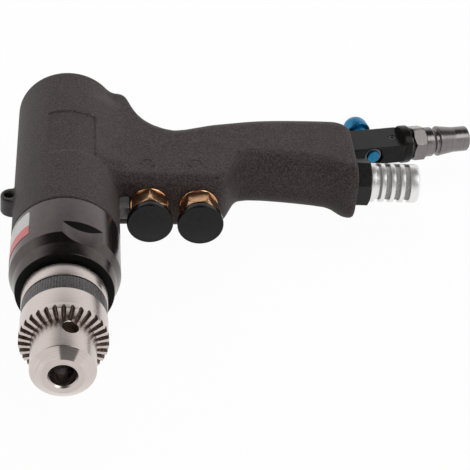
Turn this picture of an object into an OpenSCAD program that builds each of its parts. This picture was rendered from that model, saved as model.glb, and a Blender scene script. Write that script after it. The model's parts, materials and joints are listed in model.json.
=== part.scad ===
// Reversible pistol air drill with a keyed chuck, lying on its right side.
// Lengths in millimetres. The spindle runs along Y: the chuck nose is at the origin
// and +Y runs rearward. The handle points along +X and the left side of the drill faces +Z.

/* [Chuck] */
// Radius of the chuck nose
nose_r = 13.5; // [10:0.1:18]
// Radius of the flat ring at the very front of the nose
mouth_face_r = 8.8; // [7:0.1:12]
// Length of the cone at the front of the nose
nose_cone_l = 3.4; // [1:0.1:6]
// Radius of the chuck bore
chuck_bore_r = 5.6; // [4:0.1:7]
// Depth of the chuck bore
chuck_bore_l = 30; // [20:0.5:34]
// Radius of the bore between the jaws
jaw_bore_r = 5.3; // [3.8:0.1:6.6]
// Length of nose that stands ahead of the toothed ring
nose_l = 19.6; // [14:0.1:26]
// Radius of the chuck sleeve
sleeve_r = 18.2; // [15:0.1:24]
// Length of the sleeve with its toothed ring
sleeve_l = 23.1; // [18:0.1:30]
// Height that the toothed ring stands above the sleeve
gear_lip = 0.3; // [0:0.05:1]
// Axial length of the sloping face that carries the teeth
gear_face_l = 0.9; // [0.4:0.1:3]
// Length of the toothed ring behind its sloping face
gear_ring_l = 3.7; // [2.5:0.1:5]
// Teeth of the sleeve ring
gear_teeth = 32; // [20:1:36]
// Depth of the tooth gaps at the rim
tooth_gap_d = 2.3; // [1:0.1:3]
// Depth of the tooth gaps beside the nose
tooth_in_d = 0.9; // [0.4:0.1:1.5]
// Width of the tooth gaps
tooth_gap_w = 2; // [0.8:0.05:2.2]
// Height of the rounded floor of the tooth gaps
tooth_round = 1.3; // [0.3:0.1:1.6]
// Length of the knurled band at the rear of the sleeve
band_l = 8.7; // [4:0.1:12]
// Depth of the knurled band below the sleeve
band_inset = 0.25; // [0.1:0.05:0.6]
// Wall of the sleeve round the nut
sleeve_wall = 1.5; // [1:0.1:3]
// Length of the hub ring behind the sleeve
hub_l = 7.5; // [4:0.1:12]
// Radius of the chuck key pilot holes
key_hole_r = 3.5; // [2:0.1:4]
// Depth of the chuck key pilot holes
key_hole_d = 3.6; // [2:0.1:5]
// Distance from the toothed face to the key holes
key_hole_back = 4.5; // [4.2:0.1:6]
// Turn of the key holes from the left side, in degrees
key_turn = 11; // [-60:1:60]
// Radius of the jaws
jaw_r = 3.1; // [2:0.1:4]
// Tilt of the jaws to the spindle, in degrees
jaw_tilt = 17; // [14:0.5:20]
// Distance of the jaw centre lines from the spindle at the nose
jaw_axis_nose_r = 0.95; // [0.5:0.05:2]
// Radius that the open jaws leave free
jaw_open_r = 5; // [3:0.1:6]
// Place of the jaw tips behind the nose with the chuck open
jaw_tip_y = 15; // [12:0.1:20]
// Length of the jaws along the spindle
jaw_l = 25; // [20:0.1:30]
// Flat on the tip of each jaw
jaw_flat = 0.6; // [0.2:0.1:1.5]
// Length of the split nut inside the sleeve
nut_l = 6; // [4:0.1:8]
// Radius of the chuck retaining screw
chuck_screw_r = 2.6; // [2:0.1:4]
// Radius of the head of the chuck retaining screw
chuck_screw_head_r = 4.2; // [3:0.1:5]
// Height of the head of the chuck retaining screw
chuck_screw_head_l = 2.5; // [1.5:0.1:4]
// Width of the slot in the chuck screw
slot_w = 0.9; // [0.5:0.1:1.5]
// Depth of the slot in the chuck screw
slot_d = 0.8; // [0.4:0.1:1.5]
// Thread length of the chuck retaining screw
chuck_screw_l = 12; // [8:0.5:16]

/* [Gear case] */
// Gap between the chuck and the gear case
chuck_gap = 2.4; // [1:0.1:5]
// Radius of the gear case and the barrel
barrel_r = 24; // [20:0.1:30]
// Radial drop from the barrel to the front face of the gear case
case_front_drop = 2.9; // [1:0.1:6]
// Length of the front cone of the gear case
case_cone_l = 6.5; // [3:0.1:10]
// Length of the second cone of the gear case
case_step_l = 5; // [2:0.1:8]
// Radial drop from the barrel to the edge between the two cones
case_mid_drop = 1.8; // [0.5:0.1:4]
// Length of the cylindrical part of the gear case
case_l = 25.1; // [18:0.1:35]
// Length of the threaded spigot in the housing
spigot_l = 10; // [6:0.1:14]
// Wall of the housing round the threaded spigot
spigot_cover = 2; // [1.5:0.1:4]
// Wall of the gear case
case_wall = 4; // [3:0.1:5]
// Depth of the spanner flats
flat_d = 1.8; // [0.5:0.1:2.5]
// Axial length of the sloping shoulder behind the spanner flats
flat_shoulder_l = 3.5; // [1:0.1:6]
// Turn of the spanner flats about the spindle, in degrees
flat_turn = 18; // [0:1:90]
// Length of cylinder left behind the spanner flats
flat_back_l = 17.5; // [10:0.1:22]
// Bevel at the joint of gear case and housing
joint_bevel = 0.4; // [0.2:0.1:1]
// Outer radius of the dust seal
seal_r = 12; // [10:0.1:14]
// Length of the dust seal
seal_l = 3; // [2:0.1:5]
// Outer radius of the spindle bearing
bearing_r = 16; // [12:0.1:18]
// Length of the spindle bearing
bearing_l = 9; // [6:0.1:12]
// Thickness of the snap ring behind the spindle bearing
snap_l = 1.2; // [0.8:0.1:2]
// Radial width of the snap ring
snap_w = 2.4; // [1.5:0.1:4]
// Gap angle of the snap ring, in degrees
snap_gap = 40; // [20:1:80]

/* [Spindle and gears] */
// Radius of the spindle thread in the chuck
spindle_thread_r = 4.76; // [4:0.01:6]
// Length of the spindle thread
spindle_thread_l = 14.5; // [10:0.1:16]
// Radius of the spindle shoulder
shoulder_r = 8; // [6.5:0.1:10]
// Radius of the spindle in its bearing
spindle_r = 7.5; // [6:0.1:10]
// Rim of the planet carrier plate outside the planet pins
carrier_rim = 2.15; // [1:0.05:2.5]
// Thickness of the planet carrier plate
carrier_l = 4; // [3:0.1:6]
// Teeth of the sun pinion
sun_teeth = 12; // [12:3:18]
// Teeth of each planet gear
planet_teeth = 18; // [15:3:24]
// Number of planet gears
planets = 3; // [3:1:3]
// Width of the planet gears
planet_l = 8; // [6:0.1:12]
// Wall of the ring gear behind its teeth
ring_wall = 1.19; // [0.8:0.01:2]
// Play between the flanks of meshing teeth
gear_backlash = 0.16; // [0.05:0.01:0.3]
// Radius of the planet pins
planet_pin_r = 2; // [1.5:0.1:3]

/* [Motor] */
// Length of the clamp ring behind the ring gear
clamp_l = 11; // [6:0.1:16]
// Inner radius of the clamp ring
clamp_in_r = 9; // [7:0.1:10]
// Thickness of the front end plate
front_plate_l = 10; // [8:0.1:14]
// Thickness of the rear end plate
rear_plate_l = 10; // [8:0.1:14]
// Wall of the housing round the motor
motor_cover = 3.5; // [2.5:0.1:3.8]
// Wall of the motor cylinder on average
cylinder_wall = 2.9; // [2.5:0.1:4]
// Offset of the cylinder bore from the rotor
bore_offset = 1.7; // [0.8:0.1:1.8]
// Length of the motor cylinder
cylinder_l = 58; // [40:0.5:70]
// Gap at each end of the rotor
rotor_end_gap = 0.4; // [0.3:0.05:0.8]
// Radius of the rotor shaft
shaft_r = 4; // [3:0.1:5]
// Number of rotor vanes
vanes = 5; // [4:1:6]
// Thickness of each vane
vane_w = 1.7; // [1.2:0.1:2.5]
// Depth of each vane
vane_h = 7.5; // [5:0.1:9]
// Outer radius of the front rotor bearing
front_rotor_bearing_r = 11; // [10:0.1:13]
// Length of the front rotor bearing
front_rotor_bearing_l = 7; // [5:0.1:9]
// Outer radius of the rear rotor bearing
rear_rotor_bearing_r = 9.5; // [8:0.1:12]
// Length of the rear rotor bearing
rear_rotor_bearing_l = 6; // [4:0.1:8]
// Height of the wave washer behind the motor
washer_l = 1.5; // [0.8:0.1:3]
// Radial width of the wave washer
washer_w = 4; // [2:0.1:6]
// Radius of the alignment pin
dowel_r = 1.25; // [0.8:0.05:1.4]

/* [Housing] */
// Radius of the chamber behind the motor
chamber_r = 14; // [10:0.1:16]
// Depth of the chamber behind the motor
chamber_l = 13.8; // [5:0.1:20]
// Thickness of the rear wall
rear_wall = 13.5; // [5:0.1:20]
// Rounding of the rear edge of the barrel
rear_round = 4; // [1:0.1:8]
// Length of the plate recess on the barrel
plate_l = 33; // [15:0.5:50]
// Distance from the gear case joint to the plate recess
plate_from_joint = 37.3; // [10:0.1:60]
// Sweep of the plate recess, in degrees
plate_sweep = 54; // [20:1:80]
// Turn of the middle of the plate recess from the left side, in degrees
plate_turn = 4; // [-20:1:20]
// Depth of the plate recess
plate_d = 0.5; // [0.2:0.1:1]
// Radius of the suspension eye
eye_r = 5.6; // [4:0.1:8]
// Thickness of the suspension eye
eye_t = 9; // [5:0.1:14]
// Distance of the eye centre outside the barrel surface
eye_out = 0.3; // [0:0.1:2]
// Distance from the gear case joint to the eye
eye_from_joint = 28.4; // [10:0.1:60]
// Radius of the hole in the eye
eye_hole_r = 2.2; // [1.5:0.1:3]
// Distance of the eye hole outward from the eye centre
eye_hole_out = 1.6; // [0:0.1:3]
// Distance from the gear case joint to the web ahead of the buttons
web_from_joint = 22.9; // [15:0.1:30]
// Thickness of the web ahead of the buttons
web_t = 6.6; // [4:0.1:16]
// Distance that the web reaches below the barrel
web_drop = 4.4; // [2:0.1:8]

/* [Handle] */
// Distance from the barrel to the end of the handle
handle_reach = 111.4; // [95:0.5:135]
// Distance from the gear case joint to the flat face behind the buttons
boss_from_joint = 31.4; // [20:0.1:45]
// Depth of the handle from the button face to its deepest back
handle_d = 61; // [50:0.5:75]
// Thickness of the handle
handle_t = 28.6; // [24:0.1:36]

/* [Buttons] */
// Distance from the barrel to the line of the forward button
forward_drop = 13.6; // [11:0.1:18]
// Distance between the two buttons
button_pitch = 22.8; // [21.5:0.1:28]
// Radius of the button caps
button_r = 10.5; // [8:0.1:10.6]
// Thickness of the button caps
button_l = 4.1; // [3.5:0.1:7]
// Height of the dome on the button caps
button_dome = 0.9; // [0.3:0.1:2]
// Rounding of the rim of the button caps
button_round = 1.5; // [0.5:0.1:2.2]
// Travel of the buttons
button_travel = 3.8; // [2:0.1:5]
// Gap left under a pressed button
button_rest_gap = 0.4; // [0.3:0.1:1]
// Height of the hex of the valve bushings
bush_hex_l = 8; // [5:0.1:12]
// Width across the flats of the valve bushings
bush_flats = 16.2; // [15.2:0.1:19]
// Radius of the round collar of the valve bushings
bush_collar_r = 8.8; // [8:0.1:10.5]
// Thickness of the round collar of the valve bushings
bush_collar_l = 1; // [0.5:0.1:2]
// Turn of the forward bushing, in degrees
forward_turn = 28; // [0:1:60]
// Turn of the reverse bushing, in degrees
reverse_turn = 53; // [0:1:60]
// Radius of the bushing thread
bush_thread_r = 7.5; // [6:0.1:8.5]
// Length of the bushing thread
bush_thread_l = 17; // [10:0.1:22]
// Radius of the valve stems
stem_r = 2.5; // [1.5:0.1:3.5]
// Depth of the stem in the button cap
stem_in_cap = 3; // [1.5:0.1:4]
// Radius of the valve heads
valve_r = 4.6; // [3.5:0.1:5]
// Thickness of the valve heads
valve_l = 3; // [2:0.1:5]
// Radius of the valve chambers
valve_bore_r = 5.6; // [5:0.1:6.5]
// Length of the valve springs
spring_l = 17; // [12:0.5:20]
// Mean radius of the valve springs
spring_r = 3.4; // [2.5:0.1:4]
// Radius of the spring wire
spring_wire_r = 0.5; // [0.3:0.05:0.7]
// Turns of the valve springs
spring_turns = 6; // [4:1:8]
// Outer radius of the stem seals
stem_seal_r = 4.2; // [3.5:0.1:5]
// Length of the stem seals
stem_seal_l = 2; // [1:0.1:3]
// Depth of the stem seals behind the front of the bushing
stem_seal_in = 12; // [6:0.1:16]
// Radius of the air passage between the valves
cross_bore_r = 2.5; // [1.5:0.1:3]

/* [Inlet] */
// Distance from the button face to the inlet line at the end of the handle
inlet_back = 50.9; // [45:0.1:60]
// Tilt of the inlet to the rear, in degrees
inlet_tilt = 12.7; // [0:0.1:15]
// Width of the inlet block from front to rear
block_w = 17.5; // [14:0.1:20]
// Thickness of the inlet block
block_t = 9.8; // [9:0.1:16]
// Length of the inlet block outside the handle
block_l = 28.7; // [24:0.1:40]
// Length of the inlet block inside the handle
block_in = 4.5; // [1.8:0.1:6]
// Radius of the round collar on the inlet block
collar_r = 9.3; // [7:0.1:10]
// Length of the round collar on the inlet block
collar_l = 3.8; // [2:0.1:7]
// Radius of the spigot of the inlet block in the handle
inlet_spigot_r = 4.8; // [4:0.1:5]
// Length of the spigot of the inlet block in the handle
inlet_spigot_l = 12; // [6:0.1:20]
// Radius of the air passage
air_r = 3; // [2:0.1:3.5]
// Length of the air passage in the handle
air_l = 78; // [76:0.5:85]
// Radius of the passage in the handle
handle_air_r = 4; // [3:0.1:5]
// Thickness of the inlet seal
inlet_seal_l = 1.4; // [0.8:0.1:2]
// Radial width of the inlet seal
inlet_seal_w = 1.2; // [0.8:0.1:2]
// Radius of the nipple thread
nipple_thread_r = 4.4; // [3.8:0.1:4.8]
// Length of the nipple thread
nipple_thread_l = 5.6; // [4:0.1:9]
// Radius of the relief between the collar and the nipple hex
relief_r = 6.5; // [5:0.1:8]
// Length of the relief between the collar and the nipple hex
relief_l = 1.6; // [1:0.1:4]
// Width across the flats of the nipple hex
nipple_flats = 15.8; // [12:0.1:17]
// Length of the nipple hex
nipple_hex_l = 6.6; // [4:0.1:8]
// Turn of the nipple hex, in degrees
nipple_turn = 5; // [0:1:60]
// Radius of the ring ahead of the nipple hex
nipple_ring_r = 7.35; // [6:0.05:8]
// Length of the ring ahead of the nipple hex
nipple_ring_l = 4.4; // [2:0.1:5]
// Radius of the locking neck of the nipple
neck_r = 6.2; // [5:0.1:7]
// Length of the locking neck of the nipple
neck_l = 3.2; // [1.5:0.1:4]
// Radius of the locking rim of the nipple
rim_r = 7.5; // [6:0.05:8]
// Length of the locking rim of the nipple
rim_l = 1.2; // [1:0.1:3]
// Length of the barrel of the nipple
nipple_barrel_l = 15.1; // [10:0.1:20]
// Radius of the barrel of the nipple at its root
barrel_root_r = 7.2; // [5:0.05:7.4]
// Radius of the barrel of the nipple at its end
barrel_end_r = 6.25; // [5:0.05:7]
// Radius of the bore of the nipple
nipple_bore_r = 3.5; // [2.5:0.1:4]
// Thickness of the inlet screen
screen_t = 0.8; // [0.4:0.1:1.5]
// Radius of the holes in the inlet screen
screen_hole_r = 0.5; // [0.3:0.05:0.7]
// Radius of the lock screw
lock_screw_r = 1.5; // [1:0.1:2]
// Length of the lock screw
lock_screw_l = 1.5; // [1:0.1:1.5]
// Distance of the lock screw behind the collar
lock_screw_back = 4.7; // [4:0.1:10]
// Width across the flats of the lock screw socket
lock_socket_flats = 1.5; // [1:0.1:2]
// Depth of the lock screw socket
lock_socket_d = 1; // [0.5:0.1:1.5]
// Depth of the lock screw below the face of the block
lock_screw_sink = 0.3; // [0.1:0.1:1]

/* [Regulator] */
// Distance of the regulator from the end of the handle
regulator_out = 11.6; // [9:0.1:18]
// Radius of the regulator spool
spool_r = 3.2; // [2.5:0.1:4]
// Distance that the spool stands out at the front
spool_out = 0.3; // [0:0.1:2]
// Radius of the regulator knob
knob_r = 6.3; // [5:0.1:8]
// Height of the straight rim of the regulator knob
knob_rim_l = 4.5; // [1:0.1:8]
// Height of the dome of the regulator knob
knob_dome_l = 6.2; // [2:0.1:6.2]
// Radius of the collar under the regulator knob
knob_collar_r = 4.4; // [3.8:0.1:5]
// Length of the collar under the regulator knob
knob_collar_l = 3.2; // [0.5:0.1:8]
// Gap under the collar of the regulator knob
knob_gap = 0.4; // [0.3:0.1:1]
// Radius of the recess round the front end of the spool
spool_recess_r = 5.2; // [4:0.1:5.6]
// Depth of the recess round the front end of the spool
spool_recess_d = 1.8; // [1:0.1:3]
// Radius of the port through the spool
spool_port_r = 2; // [1:0.1:2.5]
// Thickness of the spool clip
clip_t = 0.8; // [0.5:0.1:1.2]
// Depth of the groove for the spool clip
clip_groove = 0.5; // [0.3:0.1:1]
// Gap angle of the spool clip, in degrees
clip_gap = 80; // [40:1:120]
// Length of the seals on the spool
spool_seal_l = 1.2; // [0.8:0.1:2]
// Depth of the grooves for the spool seals
spool_seal_d = 0.8; // [0.5:0.1:1.2]

/* [Muffler] */
// Distance from the button face to the muffler line
muffler_back = 23; // [19:0.1:30]
// Width across the flats of the muffler adapter
adapter_flats = 20.5; // [17:0.1:24]
// Length of the hex of the muffler adapter
adapter_hex_l = 7.6; // [6:0.1:14]
// Turn of the muffler adapter, in degrees
adapter_turn = 6; // [0:1:60]
// Radius of the adapter thread in the handle
adapter_thread_r = 7.8; // [6:0.1:9]
// Length of the adapter thread in the handle
adapter_thread_l = 12; // [8:0.1:18]
// Radius of the exhaust passage
exhaust_r = 5.2; // [4:0.1:6]
// Length of the exhaust passage in the handle
exhaust_l = 60; // [30:0.5:63]
// Radius of the muffler
muffler_r = 9.25; // [8:0.05:11]
// Length of the muffler
muffler_l = 23.6; // [18:0.1:32]
// Wall of the muffler
muffler_wall = 1.2; // [1:0.1:2.5]
// Rounding of the end of the muffler
muffler_round = 1.8; // [0.5:0.1:3]
// Length of the adapter spigot in the muffler
muffler_spigot_l = 4; // [2:0.1:6]
// Number of muffler slots
muffler_slots = 4; // [2:1:5]
// Width of the muffler slots
muffler_slot_w = 2.7; // [1.5:0.1:3]
// Distance of the last slot from the adapter
muffler_slot_root = 2.4; // [1:0.1:6]
// Distance of the first slot from the end of the muffler
muffler_slot_end = 4.6; // [2.5:0.1:6]
// Distance that the slots reach past the muffler line
muffler_slot_past = 4.5; // [0:0.1:5]
// Wall of the silencer felt
felt_wall = 2.4; // [1.5:0.1:4]

/* [Fits] */
// Running clearance of shafts and pins
run_gap = 0.06; // [0.03:0.01:0.1]
// Clearance of parts that move past each other
free_gap = 0.4; // [0.3:0.05:0.8]

/* [Hidden] */
$fn = 64;
// Extra length of every cut so that it clears its face
over = 1;
// Teeth are stubbed to this share of their module so that small pinions mesh freely
addendum_share = 0.8;
dedendum_share = 1.08;
pressure_angle = 20;
// Steps along each tooth flank
flank_steps = 3;
ring_teeth = sun_teeth + 2 * planet_teeth;
// Tooth size of the gears, which fill the gear case inside the wall of the ring gear
gear_module = (barrel_r - case_wall - ring_wall) / (ring_teeth / 2 + dedendum_share);
planet_orbit_r = gear_module * (sun_teeth + planet_teeth) / 2;
carrier_r = planet_orbit_r + planet_pin_r + carrier_rim;
// Radii inside the barrel
spigot_r = barrel_r - spigot_cover;
gear_bore_r = barrel_r - case_wall;
motor_r = barrel_r - motor_cover;
cylinder_bore_r = motor_r - cylinder_wall;
rotor_r = cylinder_bore_r - bore_offset - free_gap;
flat_r = barrel_r - flat_d;
// Places along the spindle, from the nose rearward
sleeve_end_y = nose_l + sleeve_l;
hub_y = sleeve_end_y + free_gap;
chuck_end_y = hub_y + hub_l;
case_y = chuck_end_y + chuck_gap;
case_cyl_y = case_y + case_cone_l + case_step_l;
joint_y = case_cyl_y + case_l;
bearing_y = case_y + seal_l;
snap_y = bearing_y + bearing_l;
gear_bore_y = snap_y + snap_l;
carrier_y = gear_bore_y + free_gap;
planet_y = carrier_y + carrier_l + free_gap;
clamp_y = planet_y + planet_l + free_gap;
front_plate_y = clamp_y + clamp_l;
cylinder_y = front_plate_y + front_plate_l;
rear_plate_y = cylinder_y + cylinder_l;
washer_y = rear_plate_y + rear_plate_l;
motor_end_y = washer_y + washer_l;
barrel_end_y = motor_end_y + chamber_l + rear_wall;
// The hollow body of the chuck under the sleeve
sleeve_in_r = sleeve_r - sleeve_wall;
nut_y = nose_l + gear_face_l + gear_ring_l;
gear_r = sleeve_r + gear_lip;
jaw_end_y = jaw_tip_y + jaw_l;
// Turn of the sleeve ring, as a share of one tooth
tooth_turn_share = 0.89;
// Floor of each tooth gap, as a share of its width
tooth_floor_share = 0.3;
// Places across the handle
boss_y = joint_y + boss_from_joint;
handle_l = barrel_r + handle_reach;
forward_x = barrel_r + forward_drop;
reverse_x = forward_x + button_pitch;
inlet_y = boss_y + inlet_back;
muffler_y = boss_y + muffler_back;
bush_front_y = boss_y - bush_hex_l - bush_collar_l;
cap_back_y = bush_front_y - button_rest_gap - button_travel;
cap_front_y = cap_back_y - button_l;
valve_y = boss_y + bush_thread_l + run_gap;
spring_y = valve_y + valve_l;
valve_bore_l = spring_y + spring_l - boss_y;
nipple_s = block_l + collar_l;
adapter_end_x = handle_l + adapter_hex_l;
muffler_slot_run = muffler_l - muffler_slot_end - muffler_slot_root - muffler_slot_w;
muffler_slot_pitch = muffler_slot_run / (muffler_slots - 1);
// Outline of the handle, one row for each station from the barrel to the handle end: the shares are
// along handle_l, front and back of handle_d, half thickness, front rounding and back rounding
grip_shares = [
    [0.059, 0, 1.24, 1.02, 0.35, 0.4], [0.15, 0, 1.24, 1.02, 0.35, 0.4],
    [0.181, 0, 1.236, 1.02, 0.35, 0.42], [0.199, 0, 1.213, 1.02, 0.35, 0.45],
    [0.21, 0, 1.156, 1.01, 0.35, 0.5], [0.222, 0, 1.074, 1, 0.35, 0.56],
    [0.241, 0, 0.984, 0.99, 0.35, 0.62], [0.267, 0, 0.908, 0.98, 0.35, 0.67],
    [0.296, 0, 0.853, 0.98, 0.35, 0.7], [0.333, 0, 0.808, 0.98, 0.35, 0.72],
    [0.37, 0, 0.788, 0.98, 0.35, 0.74], [0.407, 0, 0.806, 0.98, 0.35, 0.75],
    [0.452, 0, 0.845, 0.98, 0.36, 0.76], [0.5, 0, 0.885, 0.98, 0.4, 0.76],
    [0.525, 0.014, 0.9, 0.98, 0.46, 0.76], [0.544, 0.064, 0.911, 0.98, 0.54, 0.77],
    [0.563, 0.156, 0.921, 0.98, 0.62, 0.77], [0.578, 0.232, 0.929, 0.98, 0.68, 0.77],
    [0.593, 0.268, 0.937, 0.98, 0.72, 0.77], [0.63, 0.282, 0.956, 0.98, 0.76, 0.77],
    [0.681, 0.282, 0.976, 0.98, 0.77, 0.77], [0.741, 0.272, 0.99, 0.98, 0.77, 0.77],
    [0.8, 0.258, 0.998, 0.98, 0.77, 0.77], [0.859, 0.241, 1.002, 0.985, 0.77, 0.77],
    [0.904, 0.223, 1.002, 0.99, 0.77, 0.77], [0.926, 0.2, 0.998, 0.995, 0.76, 0.76],
    [0.944, 0.157, 0.991, 1.01, 0.74, 0.75], [0.963, 0.122, 0.974, 1.025, 0.72, 0.74],
    [0.985, 0.111, 0.935, 1.03, 0.7, 0.72], [0.996, 0.116, 0.9, 1.01, 0.68, 0.7],
    [1, 0.126, 0.875, 0.98, 0.66, 0.68]];
// Points on each rounded corner of the handle outline
corner_steps = 7;
// Steps along each spring and sides of its wire
spring_steps = 8 * spring_turns;
wire_sides = 6;

// Stand a shape made along Z on a line parallel to the spindle
module along_spindle(x, y) {
    translate([x, y, 0]) rotate([-90, 0, 0]) children();
}

// Stand a shape made along Z on a line parallel to the handle
module along_handle(x, y) {
    translate([x, y, 0]) rotate([0, 90, 0]) children();
}

// Stand a shape made along Z on the tilted inlet line, a distance out from the handle end
module along_inlet(out) {
    translate([handle_l, inlet_y, 0]) rotate([0, 0, inlet_tilt]) rotate([0, 90, 0])
        translate([0, 0, out]) children();
}

// Stand a shape made along Z on the regulator line, zero at the inlet line and rear along +Z
module along_regulator() {
    along_inlet(regulator_out) rotate([-90, 0, 0]) children();
}

// A turned solid on the spindle from points of radius and place
module turned(points) {
    along_spindle(0, 0) rotate_extrude() polygon(points);
}

// A plain ring on Z from height zero
module ring(height, outer, inner) {
    difference() {
        cylinder(h = height, r = outer);
        translate([0, 0, -over]) cylinder(h = height + 2 * over, r = inner);
    }
}

// A hexagonal prism on Z from its width across flats
module hex(height, flats) {
    cylinder(h = height, d = flats / cos(30), $fn = 6);
}

// A ring with a gap, as snap rings and clips have
module open_ring(height, outer, inner, gap) {
    rotate([0, 0, gap / 2]) rotate_extrude(angle = 360 - gap)
        translate([inner, 0]) square([outer - inner, height]);
}

// Involute angle at a pressure angle
function involute(a) = tan(a) * 180 / PI - a;
// Half angle of a tooth at a radius, thinned by a play at the pitch circle
function half_tooth(teeth, r, thin) = let(pitch_r = gear_module * teeth / 2,
    base_r = pitch_r * cos(pressure_angle), at = acos(min(1, base_r / max(r, base_r))))
    90 / teeth - thin / pitch_r * 90 / PI + involute(pressure_angle) - involute(at);
// Outline of a toothed wheel between two radii
function wheel_points(teeth, root_r, tip_r, thin, turn) = let(
    low = max(root_r, gear_module * teeth / 2 * cos(pressure_angle)),
    radii = concat(low > root_r ? [root_r] : [],
        [for (i = [0:flank_steps]) low + (tip_r - low) * i / flank_steps]), last = len(radii) - 1)
    [for (k = [0:teeth - 1], side = [-1, 1], i = [0:last])
        let(r = radii[side < 0 ? i : last - i],
            a = turn + k * 360 / teeth + side * half_tooth(teeth, r, thin))
        [r * cos(a), r * sin(a)]];

// One station of the handle outline as points in space
function corner(x, yc, zc, r, from) = [for (i = [0:corner_steps]) let(a = from + 90 * i / corner_steps)
    [x, yc + r * cos(a), zc + r * sin(a)]];
function station(s) = let(x = s[0] * handle_l, front = boss_y + s[1] * handle_d,
    back = boss_y + s[2] * handle_d, half = s[3] * handle_t / 2, front_round = s[4] * handle_t / 2,
    back_round = s[5] * handle_t / 2)
    concat(corner(x, front + front_round, half - front_round, front_round, 90),
        corner(x, front + front_round, front_round - half, front_round, 180),
        corner(x, back - back_round, back_round - half, back_round, 270),
        corner(x, back - back_round, half - back_round, back_round, 0));

// The handle as one skin through its stations
module grip() {
    n = 4 * (corner_steps + 1);
    rows = len(grip_shares);
    sides = [for (k = [0:rows - 2], i = [0:n - 1], half = [0, 1])
        let(a = k * n + i, b = k * n + (i + 1) % n)
        half == 0 ? [a, a + n, b + n] : [a, b + n, b]];
    polyhedron(
        points = [for (s = grip_shares) each station(s)],
        faces = concat([[for (i = [0:n - 1]) i]], sides, [[for (i = [n - 1:-1:0]) (rows - 1) * n + i]]));
}

// Outside of the barrel, its eye and its web, joined to the handle
module housing_outside() {
    along_spindle(0, 0) rotate_extrude() {
        translate([0, joint_y]) square([barrel_r, barrel_end_y - joint_y - rear_round]);
        translate([0, joint_y]) square([barrel_r - rear_round, barrel_end_y - joint_y]);
        translate([barrel_r - rear_round, barrel_end_y - rear_round]) circle(r = rear_round);
    }
    grip();
    translate([-barrel_r - eye_out, joint_y + eye_from_joint, -eye_t / 2]) cylinder(h = eye_t, r = eye_r);
    translate([0, joint_y + web_from_joint, -web_t / 2])
        cube([barrel_r + web_drop, boss_from_joint - web_from_joint + over, web_t]);
}

// Bores for one valve, on its own line
module valve_bores(x) {
    along_spindle(x, boss_y - over) cylinder(h = bush_thread_l + over, r = bush_thread_r);
    along_spindle(x, boss_y) cylinder(h = valve_bore_l, r = valve_bore_r);
}

module housing() {
    color([0.16, 0.15, 0.145]) difference() {
        housing_outside();
        along_spindle(0, joint_y - over) cylinder(h = spigot_l + over, r = spigot_r);
        along_spindle(0, joint_y) cylinder(h = motor_end_y - joint_y, r = motor_r);
        along_spindle(0, motor_end_y - over) cylinder(h = chamber_l + over, r = chamber_r);
        along_spindle(0, joint_y + plate_from_joint) rotate([0, 0, plate_turn - plate_sweep / 2 - 90])
            rotate_extrude(angle = plate_sweep) translate([barrel_r - plate_d, 0]) square([over, plate_l]);
        translate([-barrel_r - eye_out - eye_hole_out, joint_y + eye_from_joint, -eye_t / 2 - over])
            cylinder(h = eye_t + 2 * over, r = eye_hole_r);
        valve_bores(forward_x);
        valve_bores(reverse_x);
        along_handle(forward_x, spring_y + valve_l) cylinder(h = button_pitch, r = cross_bore_r);
        along_inlet(-air_l) cylinder(h = air_l, r = handle_air_r);
        along_inlet(-block_in - inlet_spigot_l) cylinder(h = block_in + inlet_spigot_l, r = inlet_spigot_r);
        along_inlet(-block_in - inlet_seal_l)
            cylinder(h = inlet_seal_l + over, r = inlet_spigot_r + inlet_seal_w);
        along_inlet(-block_in) translate([-block_t / 2, -block_w / 2, 0])
            cube([block_t, block_w, block_in + block_w]);
        along_handle(handle_l - adapter_thread_l, muffler_y)
            cylinder(h = adapter_thread_l + over, r = adapter_thread_r);
        along_handle(handle_l - exhaust_l, muffler_y) cylinder(h = exhaust_l, r = exhaust_r);
    }
}

module gear_case() {
    color([0.13, 0.125, 0.12]) difference() {
        turned([[seal_r, case_y], [barrel_r - case_front_drop, case_y],
            [barrel_r - case_mid_drop, case_y + case_cone_l],
            [barrel_r, case_cyl_y], [barrel_r, joint_y - joint_bevel], [barrel_r - joint_bevel, joint_y],
            [spigot_r, joint_y], [spigot_r, joint_y + spigot_l], [gear_bore_r, joint_y + spigot_l],
            [gear_bore_r, gear_bore_y], [bearing_r, gear_bore_y], [bearing_r, bearing_y],
            [seal_r, bearing_y]]);
        for (side = [0, 180]) spanner_flat(flat_turn - 90 + side);
    }
}

// The cut for one spanner flat, which ends in a sloping shoulder
module spanner_flat(turn) {
    flat_y = joint_y - flat_back_l;
    slope = flat_d / flat_shoulder_l;
    difference() {
        along_spindle(0, case_y - over) rotate([0, 0, turn])
            translate([flat_r, -barrel_r, 0]) cube([barrel_r, 2 * barrel_r, flat_y - case_y + over]);
        turned([[0, case_y - 2 * over], [barrel_r - slope * (flat_y - case_y + 2 * over), case_y - 2 * over],
            [barrel_r + slope * over, flat_y + over], [0, flat_y + over]]);
    }
}

module dust_seal() {
    color([0.05, 0.05, 0.05]) along_spindle(0, case_y)
        ring(seal_l, seal_r, shoulder_r + run_gap);
}

module spindle_bearing() {
    color([0.7, 0.7, 0.72]) along_spindle(0, bearing_y)
        ring(bearing_l, bearing_r, spindle_r + run_gap);
}

module snap_ring() {
    color([0.35, 0.35, 0.36]) along_spindle(0, snap_y)
        open_ring(snap_l, bearing_r, bearing_r - snap_w, snap_gap);
}

module ring_gear() {
    color([0.5, 0.5, 0.52]) along_spindle(0, gear_bore_y) difference() {
        cylinder(h = clamp_y - gear_bore_y, r = gear_bore_r);
        translate([0, 0, -over]) linear_extrude(clamp_y - gear_bore_y + 2 * over)
            polygon(wheel_points(ring_teeth, gear_module * (ring_teeth / 2 - addendum_share),
                gear_module * (ring_teeth / 2 + dedendum_share), -gear_backlash / 2, 0));
    }
}

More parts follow.
